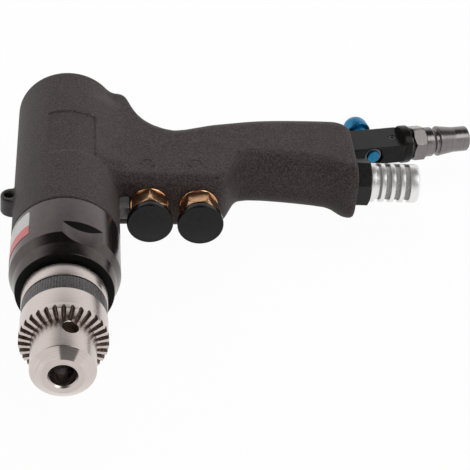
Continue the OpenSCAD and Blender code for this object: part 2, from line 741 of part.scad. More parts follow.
module clamp_ring() {
    color([0.55, 0.55, 0.56]) along_spindle(0, clamp_y) ring(clamp_l, gear_bore_r, clamp_in_r);
}

// An end plate with a bearing seat and a hole for the alignment pin
module end_plate(length, radius, seat_r, seat_l, seat_from) {
    difference() {
        cylinder(h = length, r = radius);
        translate([0, 0, -over]) cylinder(h = length + 2 * over, r = shaft_r + free_gap);
        translate([0, 0, seat_from]) cylinder(h = seat_l, r = seat_r);
        translate([dowel_at(), 0, -over]) cylinder(h = length + 2 * over, r = dowel_r);
    }
}

// The alignment pin stands in the thick side of the cylinder wall
function dowel_at() = -(motor_r + cylinder_bore_r - bore_offset) / 2;

module front_end_plate() {
    color([0.55, 0.55, 0.56]) along_spindle(0, front_plate_y) end_plate(front_plate_l, gear_bore_r,
        front_rotor_bearing_r, front_rotor_bearing_l + over, -over);
}

module rotor_front_bearing() {
    color([0.7, 0.7, 0.72]) along_spindle(0, front_plate_y)
        ring(front_rotor_bearing_l, front_rotor_bearing_r, shaft_r + run_gap);
}

module motor_cylinder() {
    color([0.5, 0.5, 0.52]) along_spindle(0, cylinder_y) difference() {
        cylinder(h = cylinder_l, r = motor_r);
        translate([bore_offset, 0, -over]) cylinder(h = cylinder_l + 2 * over, r = cylinder_bore_r);
        translate([dowel_at(), 0, -over]) cylinder(h = cylinder_l + 2 * over, r = dowel_r);
    }
}

module rear_end_plate() {
    color([0.55, 0.55, 0.56]) along_spindle(0, rear_plate_y) end_plate(rear_plate_l, motor_r,
        rear_rotor_bearing_r, rear_rotor_bearing_l + over, rear_plate_l - rear_rotor_bearing_l);
}

module rotor_rear_bearing() {
    color([0.7, 0.7, 0.72]) along_spindle(0, washer_y - rear_rotor_bearing_l)
        ring(rear_rotor_bearing_l, rear_rotor_bearing_r, shaft_r + run_gap);
}

module wave_washer() {
    color([0.35, 0.35, 0.36]) along_spindle(0, washer_y) ring(washer_l, motor_r, motor_r - washer_w);
}

module alignment_pin() {
    color([0.6, 0.6, 0.62]) along_spindle(dowel_at(), front_plate_y)
        cylinder(h = washer_y - front_plate_y, r = dowel_r);
}

// A valve bushing with its bevelled hex outside the boss and its thread inside
module bushing(x, turn) {
    color([0.72, 0.42, 0.22]) along_spindle(x, bush_front_y) difference() {
        union() {
            intersection() {
                rotate([0, 0, turn]) hex(bush_hex_l, bush_flats);
                cylinder(h = bush_hex_l, r1 = bush_flats / 2, r2 = bush_flats / 2 + bush_hex_l);
            }
            translate([0, 0, bush_hex_l]) cylinder(h = bush_collar_l, r = bush_collar_r);
            cylinder(h = bush_hex_l + bush_collar_l + bush_thread_l, r = bush_thread_r);
        }
        translate([0, 0, -over])
            cylinder(h = bush_hex_l + bush_collar_l + bush_thread_l + 2 * over, r = stem_r + run_gap);
        translate([0, 0, stem_seal_in]) cylinder(h = stem_seal_l, r = stem_seal_r);
    }
}

module forward_bushing() {
    bushing(forward_x, forward_turn);
}

module reverse_bushing() {
    bushing(reverse_x, reverse_turn);
}

module stem_seals() {
    color([0.05, 0.05, 0.05]) for (x = [forward_x, reverse_x]) along_spindle(x, bush_front_y + stem_seal_in)
        ring(stem_seal_l, stem_seal_r, stem_r + run_gap);
}

// Points of one spring, and one ring of its wire
function spring_middle(t) = [spring_r * cos(360 * spring_turns * t), spring_r * sin(360 * spring_turns * t),
    spring_wire_r + (spring_l - 2 * spring_wire_r) * t];
function wire_ring(t) = let(c = spring_middle(t), a = 360 * spring_turns * t)
    [for (i = [0:wire_sides - 1]) let(b = 360 * i / wire_sides)
        [c[0] + spring_wire_r * cos(b) * cos(a), c[1] + spring_wire_r * cos(b) * sin(a),
            c[2] + spring_wire_r * sin(b)]];

// A wound spring as one unbroken tube
module spring(x) {
    color([0.6, 0.6, 0.62]) along_spindle(x, spring_y) polyhedron(
        points = [for (k = [0:spring_steps]) each wire_ring(k / spring_steps)],
        faces = concat([[for (i = [0:wire_sides - 1]) i]],
            [for (k = [0:spring_steps - 1], i = [0:wire_sides - 1], half = [0, 1])
                let(a = k * wire_sides + i, b = k * wire_sides + (i + 1) % wire_sides)
                half == 0 ? [a, b + wire_sides, a + wire_sides] : [a, b, b + wire_sides]],
            [[for (i = [wire_sides - 1:-1:0]) spring_steps * wire_sides + i]]));
}

module forward_spring() {
    spring(forward_x);
}

module reverse_spring() {
    spring(reverse_x);
}

module inlet_block() {
    color([0.06, 0.06, 0.065]) difference() {
        union() {
            along_inlet(-block_in) translate([-block_t / 2, -block_w / 2, 0])
                cube([block_t, block_w, block_in + block_l]);
            along_inlet(block_l) cylinder(h = collar_l, r = collar_r);
            along_inlet(-block_in - inlet_spigot_l) cylinder(h = inlet_spigot_l, r = inlet_spigot_r);
        }
        along_inlet(-block_in - inlet_spigot_l - over)
            cylinder(h = block_in + inlet_spigot_l + nipple_s + 2 * over, r = air_r);
        along_inlet(nipple_s - nipple_thread_l - screen_t)
            cylinder(h = nipple_thread_l + screen_t + over, r = nipple_thread_r);
        along_regulator() translate([0, 0, -block_w / 2 - over])
            cylinder(h = block_w + 2 * over, r = spool_r + run_gap);
        along_regulator() translate([0, 0, -block_w / 2 - over])
            cylinder(h = spool_recess_d + over, r = spool_recess_r);
        along_inlet(block_l - lock_screw_back) rotate([0, -90, 0])
            translate([0, 0, block_t / 2 - lock_screw_l - lock_screw_sink])
            cylinder(h = lock_screw_l + lock_screw_sink + over, r = lock_screw_r);
    }
}

module inlet_seal() {
    color([0.05, 0.05, 0.05]) along_inlet(-block_in - inlet_seal_l)
        ring(inlet_seal_l, inlet_spigot_r + inlet_seal_w, inlet_spigot_r);
}

module inlet_screen() {
    color([0.65, 0.65, 0.66]) along_inlet(nipple_s - nipple_thread_l - screen_t) difference() {
        cylinder(h = screen_t, r = nipple_thread_r);
        for (a = [0:60:300]) rotate([0, 0, a]) translate([air_r / 2, 0, -over])
            cylinder(h = screen_t + 2 * over, r = screen_hole_r);
    }
}

module hose_nipple() {
    color([0.23, 0.2, 0.19]) along_inlet(nipple_s) difference() {
        union() {
            translate([0, 0, -nipple_thread_l]) cylinder(h = nipple_thread_l + over, r = nipple_thread_r);
            cylinder(h = relief_l, r = relief_r);
            translate([0, 0, relief_l]) intersection() {
                rotate([0, 0, nipple_turn]) hex(nipple_hex_l, nipple_flats);
                cylinder(h = nipple_hex_l, r1 = nipple_flats / 2 + nipple_hex_l, r2 = nipple_flats / 2);
                cylinder(h = nipple_hex_l, r2 = nipple_flats / 2 + nipple_hex_l, r1 = nipple_flats / 2);
            }
            translate([0, 0, relief_l + nipple_hex_l]) rotate_extrude() polygon([[0, 0],
                [nipple_ring_r, 0], [nipple_ring_r, nipple_ring_l], [neck_r, nipple_ring_l + neck_l / 2],
                [neck_r, nipple_ring_l + neck_l], [rim_r, nipple_ring_l + neck_l],
                [rim_r, nipple_ring_l + neck_l + rim_l / 2], [barrel_root_r, nipple_ring_l + neck_l + rim_l],
                [barrel_end_r, nipple_ring_l + neck_l + rim_l + nipple_barrel_l / 2],
                [barrel_end_r, nipple_ring_l + neck_l + rim_l + nipple_barrel_l],
                [0, nipple_ring_l + neck_l + rim_l + nipple_barrel_l]]);
        }
        translate([0, 0, -nipple_thread_l - over]) cylinder(h = nipple_thread_l + relief_l + nipple_hex_l
            + nipple_ring_l + neck_l + rim_l + nipple_barrel_l + 2 * over, r = nipple_bore_r);
    }
}

module lock_screw() {
    color([0.3, 0.3, 0.31]) along_inlet(block_l - lock_screw_back) rotate([0, -90, 0])
        translate([0, 0, block_t / 2 - lock_screw_l - lock_screw_sink]) difference() {
        cylinder(h = lock_screw_l, r = lock_screw_r);
        translate([0, 0, lock_screw_l - lock_socket_d]) hex(lock_socket_d + over, lock_socket_flats);
    }
}

module muffler_adapter() {
    color([0.07, 0.07, 0.07]) along_handle(handle_l, muffler_y) difference() {
        union() {
            rotate([0, 0, adapter_turn]) hex(adapter_hex_l, adapter_flats);
            translate([0, 0, -adapter_thread_l]) cylinder(h = adapter_thread_l + over, r = adapter_thread_r);
            cylinder(h = adapter_hex_l + muffler_spigot_l, r = muffler_r - muffler_wall);
        }
        translate([0, 0, -adapter_thread_l - over])
            cylinder(h = adapter_thread_l + adapter_hex_l + muffler_spigot_l + 2 * over, r = exhaust_r);
    }
}

module muffler() {
    hollow_r = muffler_r - muffler_wall;
    shoulder = muffler_l - muffler_round;
    color([0.82, 0.82, 0.83]) along_handle(adapter_end_x, muffler_y) difference() {
        // Turned so that the seam of the round lies in the slots
        rotate([0, 0, -90]) rotate_extrude() polygon(concat([[hollow_r, 0], [muffler_r, 0]],
            [for (a = [0:30:90])
                [muffler_r + muffler_round * (cos(a) - 1), shoulder + muffler_round * sin(a)]],
            [[0, muffler_l], [0, muffler_l - muffler_wall], [hollow_r, muffler_l - muffler_wall]]));
        for (k = [0:muffler_slots - 1])
            translate([-muffler_r - over, -muffler_r - over,
                muffler_l - muffler_slot_end - muffler_slot_w - k * muffler_slot_pitch])
            cube([2 * (muffler_r + over), muffler_r + over + muffler_slot_past, muffler_slot_w]);
    }
}

module silencer_felt() {
    color([0.5, 0.49, 0.48]) along_handle(adapter_end_x + muffler_spigot_l, muffler_y)
        ring(muffler_l - muffler_wall - muffler_spigot_l, muffler_r - muffler_wall,
            muffler_r - muffler_wall - felt_wall);
}

module spindle() {
    color([0.6, 0.6, 0.62]) difference() {
        turned([[0, chuck_end_y - spindle_thread_l], [spindle_thread_r, chuck_end_y - spindle_thread_l],
            [spindle_thread_r, chuck_end_y], [shoulder_r, chuck_end_y], [shoulder_r, bearing_y - run_gap],
            [spindle_r, bearing_y - run_gap], [spindle_r, carrier_y], [carrier_r, carrier_y],
            [carrier_r, carrier_y + carrier_l], [0, carrier_y + carrier_l]]);
        along_spindle(0, chuck_end_y - spindle_thread_l - over)
            cylinder(h = chuck_screw_l + over, r = chuck_screw_r);
        for (k = [0:planets - 1]) along_spindle(0, carrier_y - over) rotate([0, 0, k * 360 / planets])
            translate([planet_orbit_r, 0, 0]) cylinder(h = carrier_l + 2 * over, r = planet_pin_r);
    }
}

module planet_pins() {
    color([0.65, 0.65, 0.67]) for (k = [0:planets - 1]) along_spindle(0, carrier_y)
        rotate([0, 0, k * 360 / planets]) translate([planet_orbit_r, 0, 0])
        cylinder(h = planet_y + planet_l - carrier_y, r = planet_pin_r);
}

// Stand a shape on the line of one jaw, which closes on the spindle toward the nose
module on_jaw(k) {
    along_spindle(0, 0) rotate([0, 0, k * 120 + key_turn - 30]) translate([jaw_axis_nose_r, 0, 0])
        rotate([0, jaw_tilt, 0]) children();
}

// Distance of the outside of the jaws from the spindle at a place behind the nose
function jaw_reach(y) = jaw_axis_nose_r + y * tan(jaw_tilt) + jaw_r / cos(jaw_tilt);

module chuck_body() {
    color([0.72, 0.7, 0.68]) difference() {
        turned([[0, 0], [mouth_face_r, 0], [nose_r, nose_cone_l], [nose_r, nut_y - free_gap],
            [jaw_reach(nut_y) - jaw_r, nut_y - free_gap],
            [jaw_reach(nut_y + nut_l) - jaw_r, nut_y + nut_l + free_gap],
            [sleeve_in_r - free_gap, nut_y + nut_l + free_gap], [sleeve_in_r - free_gap, hub_y],
            [sleeve_r, hub_y], [sleeve_r, chuck_end_y], [0, chuck_end_y]]);
        turned([[0, -over], [chuck_bore_r, -over], [chuck_bore_r, jaw_tip_y - free_gap],
            [jaw_bore_r, jaw_tip_y - free_gap], [jaw_bore_r, chuck_bore_l], [0, chuck_bore_l]]);
        along_spindle(0, 0) cylinder(h = chuck_end_y, r = chuck_screw_r);
        along_spindle(0, chuck_end_y - spindle_thread_l)
            cylinder(h = spindle_thread_l + over, r = spindle_thread_r);
        for (k = [0:2]) on_jaw(k) cylinder(h = (jaw_end_y + free_gap) / cos(jaw_tilt), r = jaw_r + run_gap);
        for (k = [0:2]) along_spindle(0, nose_l - key_hole_back) rotate([0, 0, k * 120 + key_turn - 90])
            translate([nose_r - key_hole_d, 0, 0]) rotate([0, 90, 0])
            cylinder(h = key_hole_d + over, r = key_hole_r);
    }
}

module chuck_screw() {
    color([0.3, 0.3, 0.31]) along_spindle(0, chuck_bore_l) difference() {
        union() {
            translate([0, 0, -chuck_screw_head_l]) cylinder(h = chuck_screw_head_l, r = chuck_screw_head_r);
            cylinder(h = chuck_end_y - spindle_thread_l + chuck_screw_l - chuck_bore_l, r = chuck_screw_r);
        }
        translate([-chuck_screw_head_r - over, -slot_w / 2, -chuck_screw_head_l - over])
            cube([2 * (chuck_screw_head_r + over), slot_w, slot_d + over]);
    }
}

module chuck_sleeve() {
    rise = gear_face_l + tooth_gap_d;
    slope = atan2(rise - tooth_in_d, gear_r - nose_r);
    color([0.74, 0.72, 0.7]) difference() {
        turned([[nose_r + run_gap, nose_l], [gear_r, nose_l + gear_face_l], [gear_r, nut_y],
            [sleeve_r, nut_y], [sleeve_r, sleeve_end_y - band_l],
            [sleeve_r - band_inset, sleeve_end_y - band_l], [sleeve_r - band_inset, sleeve_end_y],
            [sleeve_in_r, sleeve_end_y], [sleeve_in_r, nut_y], [nose_r + run_gap, nut_y]]);
        for (k = [0:gear_teeth - 1]) along_spindle(0, nose_l)
            rotate([0, 0, (k + tooth_turn_share) * 360 / gear_teeth])
            translate([nose_r, 0, tooth_in_d]) rotate([0, -slope, 0]) rotate([90, 0, 90])
            translate([0, 0, -over]) linear_extrude((gear_r - nose_r) / cos(slope) + 2 * over) polygon([
                [-tooth_gap_w / 2, -rise - over], [tooth_gap_w / 2, -rise - over],
                [tooth_gap_w / 2, -tooth_round], [tooth_floor_share * tooth_gap_w / 2, 0],
                [-tooth_floor_share * tooth_gap_w / 2, 0],
                [-tooth_gap_w / 2, -tooth_round]]);
    }
}

module chuck_nut() {
    color([0.45, 0.45, 0.46]) along_spindle(0, 0) for (half = [0, 180]) rotate([0, 0, half + 1])
        rotate_extrude(angle = 178) polygon([[jaw_reach(nut_y) + run_gap, nut_y], [sleeve_in_r, nut_y],
            [sleeve_in_r, nut_y + nut_l], [jaw_reach(nut_y + nut_l) + run_gap, nut_y + nut_l]]);
}

// A jaw is a tilted pin cut to a wedge that grips along the spindle
module jaw(k) {
    color([0.4, 0.4, 0.41]) intersection() {
        on_jaw(k) cylinder(h = jaw_end_y / cos(jaw_tilt), r = jaw_r);
        along_spindle(0, jaw_tip_y) rotate([0, 0, k * 120 + key_turn - 30]) linear_extrude(jaw_l) polygon([
            [jaw_open_r, -jaw_flat / 2], [jaw_open_r, jaw_flat / 2],
            [jaw_open_r + sleeve_r, jaw_flat / 2 + sleeve_r * tan(60)],
            [jaw_open_r + sleeve_r, -jaw_flat / 2 - sleeve_r * tan(60)]]);
    }
}

module chuck_jaw_a() {
    jaw(0);
}

module chuck_jaw_b() {
    jaw(1);
}

module chuck_jaw_c() {
    jaw(2);
}

// A planet gear on its pin
module planet(k) {
    color([0.55, 0.55, 0.57]) along_spindle(0, planet_y) rotate([0, 0, k * 360 / planets])
        translate([planet_orbit_r, 0, 0]) difference() {
        linear_extrude(planet_l) polygon(wheel_points(planet_teeth,
            gear_module * (planet_teeth / 2 - dedendum_share),
            gear_module * (planet_teeth / 2 + addendum_share), gear_backlash / 2, 0));
        translate([0, 0, -over]) cylinder(h = planet_l + 2 * over, r = planet_pin_r + run_gap);
    }
}

module planet_gear_a() {
    planet(0);
}

module planet_gear_b() {
    planet(1);
}

module planet_gear_c() {
    planet(2);
}

module rotor() {
    color([0.5, 0.5, 0.52]) difference() {
        union() {
            along_spindle(0, planet_y) linear_extrude(planet_l) polygon(wheel_points(sun_teeth,
                gear_module * (sun_teeth / 2 - dedendum_share),
                gear_module * (sun_teeth / 2 + addendum_share), gear_backlash / 2, 180 / sun_teeth));
            along_spindle(0, planet_y + planet_l) cylinder(h = washer_y - planet_y - planet_l, r = shaft_r);
            along_spindle(0, cylinder_y + rotor_end_gap)
                cylinder(h = cylinder_l - 2 * rotor_end_gap, r = rotor_r);
        }
        for (k = [0:vanes - 1]) along_spindle(0, cylinder_y) rotate([0, 0, k * 360 / vanes])
            translate([rotor_r - vane_h, -vane_w / 2, 0]) cube([vane_h + over, vane_w, cylinder_l]);
    }
}

module rotor_vanes() {
    color([0.35, 0.25, 0.18]) intersection() {
        for (k = [0:vanes - 1]) along_spindle(0, cylinder_y + rotor_end_gap) rotate([0, 0, k * 360 / vanes])
            translate([rotor_r - vane_h, -vane_w / 2, 0])
            cube([vane_h, vane_w, cylinder_l - 2 * rotor_end_gap]);
        along_spindle(0, cylinder_y) cylinder(h = cylinder_l, r = rotor_r);
    }
}

// A domed button cap with a rounded rim and a seat for its stem
module button(x) {
    dome_r = ((button_r - button_round) ^ 2 + button_dome ^ 2) / (2 * button_dome);
    color([0.07, 0.07, 0.07]) along_spindle(x, cap_front_y) difference() {
        union() {
            intersection() {
                translate([0, 0, dome_r]) sphere(r = dome_r, $fn = 96);
                cylinder(h = button_dome, r = button_r - button_round);
            }
            translate([0, 0, button_dome]) rotate_extrude() {
                square([button_r - button_round, button_l - button_dome]);
                translate([button_r - button_round, button_round]) circle(r = button_round);
                translate([0, button_round]) square([button_r, button_l - button_dome - button_round]);
            }
        }
        translate([0, 0, button_l - stem_in_cap]) cylinder(h = stem_in_cap + over, r = stem_r);
    }
}

// A valve stem with its head behind the bushing
module stem(x) {
    color([0.4, 0.4, 0.41]) {
        along_spindle(x, cap_back_y - stem_in_cap)
            cylinder(h = valve_y - cap_back_y + stem_in_cap, r = stem_r);
        along_spindle(x, valve_y) cylinder(h = valve_l, r = valve_r);
    }
}

module forward_button() {
    button(forward_x);
}

module forward_stem() {
    stem(forward_x);
}

module reverse_button() {
    button(reverse_x);
}

module reverse_stem() {
    stem(reverse_x);
}

module regulator_spool() {
    front = -block_w / 2 - spool_out;
    back = block_w / 2 + knob_gap;
    dome_r = (knob_r ^ 2 + knob_dome_l ^ 2) / (2 * knob_dome_l);
    color([0.05, 0.3, 0.5]) along_regulator() difference() {
        union() {
            translate([0, 0, front]) cylinder(h = back - front + over, r = spool_r);
            translate([0, 0, back]) cylinder(h = knob_collar_l + knob_rim_l, r = knob_collar_r);
            translate([0, 0, back + knob_collar_l]) cylinder(h = knob_rim_l, r = knob_r);
            translate([0, 0, back + knob_collar_l + knob_rim_l]) intersection() {
                cylinder(h = knob_dome_l, r = knob_r);
                translate([0, 0, knob_dome_l - dome_r]) sphere(r = dome_r);
            }
        }
        rotate([-90, 0, 0]) translate([0, 0, -spool_r - over])
            cylinder(h = 2 * (spool_r + over), r = spool_port_r);
        translate([0, 0, clip_z()]) ring(clip_t, spool_r + over, spool_r - clip_groove);
        for (z = spool_seal_places()) translate([0, 0, z])
            ring(spool_seal_l, spool_r + over, spool_r - spool_seal_d);
    }
}

// The clip lies in the recess at the front of the block, and the seals stand on both sides of the port
function clip_z() = -block_w / 2 + spool_recess_d - clip_t - run_gap;
function spool_seal_places() = [-(block_w / 2 - spool_recess_d + air_r + spool_seal_l) / 2,
    (block_w / 2 + air_r - spool_seal_l) / 2];

module regulator_seals() {
    color([0.05, 0.05, 0.05]) along_regulator() for (z = spool_seal_places()) translate([0, 0, z])
        ring(spool_seal_l, spool_r, spool_r - spool_seal_d);
}

module regulator_clip() {
    color([0.4, 0.4, 0.41]) along_regulator() translate([0, 0, clip_z()])
        open_ring(clip_t, (spool_r + spool_recess_r) / 2, spool_r - clip_groove, clip_gap);
}

housing();
gear_case();
dust_seal();
spindle_bearing();
snap_ring();
ring_gear();
clamp_ring();
front_end_plate();
rotor_front_bearing();
motor_cylinder();
rear_end_plate();
rotor_rear_bearing();
wave_washer();
alignment_pin();
forward_bushing();
reverse_bushing();
stem_seals();
forward_spring();
reverse_spring();
inlet_block();
inlet_seal();
inlet_screen();
hose_nipple();
lock_screw();
muffler_adapter();
muffler();
silencer_felt();
spindle();
planet_pins();
chuck_body();
chuck_screw();
chuck_sleeve();
chuck_nut();
chuck_jaw_a();
chuck_jaw_b();
chuck_jaw_c();
planet_gear_a();
planet_gear_b();
planet_gear_c();
rotor();
rotor_vanes();
forward_button();
forward_stem();
reverse_button();
reverse_stem();
regulator_spool();
regulator_seals();
regulator_clip();
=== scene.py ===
"""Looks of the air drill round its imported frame.

Sizes are millimetres in the part's frame and become metres when a mesh is made. The spindle runs along Y
from the nose of the chuck, the handle runs along X and Z is the drill's left side.
"""
import json
import math

import bmesh
import bpy
import numpy as np
from mathutils import Matrix, Vector


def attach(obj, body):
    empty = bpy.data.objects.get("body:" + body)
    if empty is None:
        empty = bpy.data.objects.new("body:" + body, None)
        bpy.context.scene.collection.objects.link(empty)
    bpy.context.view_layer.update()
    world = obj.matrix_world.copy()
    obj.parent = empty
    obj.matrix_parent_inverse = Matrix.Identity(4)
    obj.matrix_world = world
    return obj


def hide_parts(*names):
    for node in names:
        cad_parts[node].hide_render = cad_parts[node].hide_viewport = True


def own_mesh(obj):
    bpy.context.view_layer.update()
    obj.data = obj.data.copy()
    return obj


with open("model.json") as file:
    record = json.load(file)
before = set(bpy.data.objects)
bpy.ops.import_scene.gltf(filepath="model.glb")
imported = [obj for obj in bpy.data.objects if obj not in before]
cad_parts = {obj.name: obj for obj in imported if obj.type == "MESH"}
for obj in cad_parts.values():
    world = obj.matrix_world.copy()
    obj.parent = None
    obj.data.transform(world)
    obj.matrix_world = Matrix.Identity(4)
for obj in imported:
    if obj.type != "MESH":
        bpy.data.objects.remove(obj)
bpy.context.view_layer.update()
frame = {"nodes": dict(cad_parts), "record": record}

MM = 0.001
WELD = 1e-7
SEGMENTS = 96
FINE_SEGMENTS = 144
SHARP = 33.0
# Area in square millimetres above which a face of a flat-sided piece isn't smoothed
LARGE_FACE = 6.0

# The body that doesn't move
HOUSING = "housing_body"

# Places and sizes shared with the part
BARREL_R = 24.0
BARREL_END = 197.2
JOINT_Y = 89.6
LIP_R = 22.0
LIP_END = 99.6
CASE_FRONT = 53.0
CASE_TAPER_END = 64.5
FLAT_HALF = 22.2
FLAT_END = 72.1
EAR_X = -24.3
EAR_Y = 118.0
EAR_R = 5.6
EAR_HALF = 4.5
EYE_X = -25.9
EYE_R = 2.2
BOSS_Y = 121.0
HANDLE_L = 135.4
HANDLE_D = 61.0
HANDLE_T = 28.6
NOSE_R = 13.5
NOSE_FRONT_R = 8.8
NOSE_CONE_L = 3.4
KEY_Y = 15.1
KEY_FLOOR = 9.9
SLEEVE_FRONT = 19.6
SLEEVE_R = 18.5
SLEEVE_BORE = 16.7
TEETH = 32
FORWARD_X = 37.6
REVERSE_X = 60.4
BUSHING_FRONT = 112.0
BUSHING_R = 7.5
STEM_BORE = 2.62
SPRING_END = 158.06
INLET_Y = 171.9
INLET_TILT = 12.7
BLOCK_W = 17.5
BLOCK_T = 9.8
BLOCK_L = 28.7
BLOCK_IN = 4.5
COLLAR_END = 32.5
REGULATOR_OUT = 11.6
MUFFLER_Y = 144.0
THREAD_R = 7.8
THREAD_L = 12.0
EXHAUST_R = 5.2
ADAPTER_END = 143.0
CAN_R = 9.25
CAN_BORE = 8.05
CAN_L = 23.6
CAN_DEEP = 22.4


# Placing frames

def along_spindle(x, y, turn=0.0):
    """A frame whose own Z runs along the spindle, toward the back."""
    lay = Matrix(((1, 0, 0, x), (0, 0, 1, y), (0, -1, 0, 0), (0, 0, 0, 1)))
    return lay @ Matrix.Rotation(math.radians(turn), 4, "Z")


def along_handle(x, y):
    """A frame whose own Z runs along the handle, away from the barrel."""
    return Matrix(((0, 0, 1, x), (0, 1, 0, y), (-1, 0, 0, 0), (0, 0, 0, 1)))


def along_inlet(out):
    """A frame whose own Z runs out along the tilted inlet line."""
    swing = Matrix.Rotation(math.radians(INLET_TILT), 4, "Z")
    place = Matrix.Translation((HANDLE_L, INLET_Y, 0)) @ swing @ along_handle(0, 0)
    return place @ Matrix.Translation((0, 0, out))


def along_regulator():
    """A frame whose own Z runs rearward along the regulator, zero at the inlet line."""
    return along_inlet(REGULATOR_OUT) @ Matrix.Rotation(math.radians(-90), 4, "X")


SPINDLE = along_spindle(0, 0)
INLET = along_inlet(0)


# Mesh tools

def linked(name, data):
    """A new object of the scene that holds the data."""
    obj = bpy.data.objects.new(name, data)
    bpy.context.scene.collection.objects.link(obj)
    return obj


def mesh_object(name, points, faces, place=None):
    """A closed mesh from points in millimetres."""
    place = place or Matrix()
    mesh = bpy.data.meshes.new(name)
    mesh.from_pydata([tuple((place @ Vector(p)) * MM) for p in points], [], faces)
    return weld(linked(name, mesh))


def weld(obj):
    """Joins equal points and turns every face outward."""
    work = bmesh.new()
    work.from_mesh(obj.data)
    bmesh.ops.remove_doubles(work, verts=work.verts, dist=WELD)
    bmesh.ops.recalc_face_normals(work, faces=work.faces)
    work.to_mesh(obj.data)
    work.free()
    return obj


def settle(obj):
    """Applies the modifiers of a piece to its mesh."""
    graph = bpy.context.evaluated_depsgraph_get()
    made = bpy.data.meshes.new_from_object(obj.evaluated_get(graph))
    obj.modifiers.clear()
    old = obj.data
    obj.data = made
    bpy.data.meshes.remove(old)
    return obj


def combine(obj, tools, operation="DIFFERENCE"):
    """Cuts a piece with others or joins it with them, which uses them up."""
    for tool in tools:
        step = obj.modifiers.new("combine", "BOOLEAN")
        step.operation = operation
        step.solver = "EXACT"
        step.object = tool
    settle(obj)
    for tool in tools:
        bpy.data.objects.remove(tool, do_unlink=True)
    return obj


def soften(obj, width, segments=2, angle=38.0):
    """Breaks the sharp edges of a piece."""
    step = obj.modifiers.new("soften", "BEVEL")
    step.width = width * MM
    step.segments = segments
    step.limit_method = "ANGLE"
    step.angle_limit = math.radians(angle)
    return settle(obj)


def merge(name, objects):
    """Puts several meshes that do not touch into one."""
    work = bmesh.new()
    for obj in objects:
        work.from_mesh(obj.data)
        bpy.data.objects.remove(obj, do_unlink=True)
    mesh = bpy.data.meshes.new(name)
    work.to_mesh(mesh)
    work.free()
    return linked(name, mesh)


def rounded(points, steps=5):
    """An outline whose corners with a third number are rounded to that radius."""
    out = []
    count = len(points)
    for i, point in enumerate(points):
        here = np.array(point[:2], float)
        if len(point) < 3:
            out.append(tuple(here))
            continue
        before = np.array(points[i - 1][:2], float) - here
        after = np.array(points[(i + 1) % count][:2], float) - here
        before_l, after_l = np.linalg.norm(before), np.linalg.norm(after)
        before, after = before / before_l, after / after_l
        half = math.acos(max(-1.0, min(1.0, float(before @ after)))) / 2
        cut = min(point[2] / math.tan(half), 0.49 * before_l, 0.49 * after_l)
        radius = cut * math.tan(half)
        middle = before + after
        centre = here + middle / np.linalg.norm(middle) * radius / math.sin(half)
        first, last = here + before * cut - centre, here + after * cut - centre
        start = math.atan2(first[1], first[0])
        sweep = (math.atan2(last[1], last[0]) - start + math.pi) % (2 * math.pi) - math.pi
        for k in range(steps + 1):
            a = start + sweep * k / steps
            out.append((centre[0] + radius * math.cos(a), centre[1] + radius * math.sin(a)))
    return out


def ring_quads(rings, count):
    """Quads between closed rings of points, with the last ring joined to the first."""
    quads = []
    for ring in range(rings):
        this, following = ring * count, (ring + 1) % rings * count
        for i in range(count):
            j = (i + 1) % count
            quads.append((this + i, this + j, following + j, following + i))
    return quads


def lathe(name, points, place, segments=SEGMENTS, steps=5):
    """A turned solid from a closed outline of radius and place."""
    outline = rounded(points, steps)
    rows = len(outline)
    verts = []
    for k in range(segments):
        a = 2 * math.pi * k / segments
        verts += [(r * math.cos(a), r * math.sin(a), z) for r, z in outline]
    faces = [quad for quad in ring_quads(segments, rows)
             if max(outline[quad[0] % rows][0], outline[quad[1] % rows][0]) > WELD]
    return mesh_object(name, verts, faces, place)


def rod(name, radius, low, high, place, segments=64):
    """A round tool for cutting and joining."""
    return lathe(name, [(0, low), (radius, low), (radius, high), (0, high)], place, segments)


def wall_faces(count, base=0):
    """Faces of a straight solid: its lower and upper outline, numbered from a base, and its sides."""
    upper = base + count
    faces = [tuple(range(base, upper)), tuple(range(upper + count - 1, upper - 1, -1))]
    for i in range(count):
        j = (i + 1) % count
        faces.append((base + i, base + j, upper + j, upper + i))
    return faces


def prism(name, outline, low, high, place):
    """A straight solid on a flat outline."""
    verts = [(x, y, z) for z in (low, high) for x, y in outline]
    return mesh_object(name, verts, wall_faces(len(outline)), place)


def slab(name, low, high, place=None):
    """A box between two corners."""
    outline = [(low[0], low[1]), (high[0], low[1]), (high[0], high[1]), (low[0], high[1])]
    return prism(name, outline, low[2], high[2], place)


def nut(name, flats, length, bore, place, turn):
    """A hexagon with broken edges, its corners cut back by a cone at each end."""
    face_step, slope, edge, per_side, rise_steps = 0.15, 1.75, 0.16, 16, 8
    corner = flats / 2 / math.cos(math.radians(30))
    face_r = flats / 2 - face_step
    deep = (corner - face_r) / slope
    rise = [deep * k / rise_steps for k in range(rise_steps + 1)]
    levels = rise + [length - t for t in reversed(rise)]
    share = math.degrees(edge / corner)
    angles = [60 * side + share + (60 - 2 * share) * k / per_side
              for side in range(6) for k in range(per_side + 1)]

    def reach(angle, z):
        flat = flats / 2 / math.cos(math.radians((angle % 60) - 30))
        return min(flat, face_r + slope * max(min(z, length - z), 0))

    verts = []
    for z in levels:
        for angle in angles:
            a = math.radians(angle + turn)
            r = reach(angle, z)
            verts.append((r * math.cos(a), r * math.sin(a), z))
    for z in (length, 0.0):
        for angle in angles:
            a = math.radians(angle + turn)
            verts.append((bore * math.cos(a), bore * math.sin(a), z))
    return mesh_object(name, verts, ring_quads(len(levels) + 2, len(angles)), place)


def shade(obj, angle=SHARP):
    """Smooth shading that breaks at sharp edges."""
    mesh = obj.data
    mesh.polygons.foreach_set("use_smooth", [True] * len(mesh.polygons))
    mesh.set_sharp_from_angle(angle=math.radians(angle))
    return obj


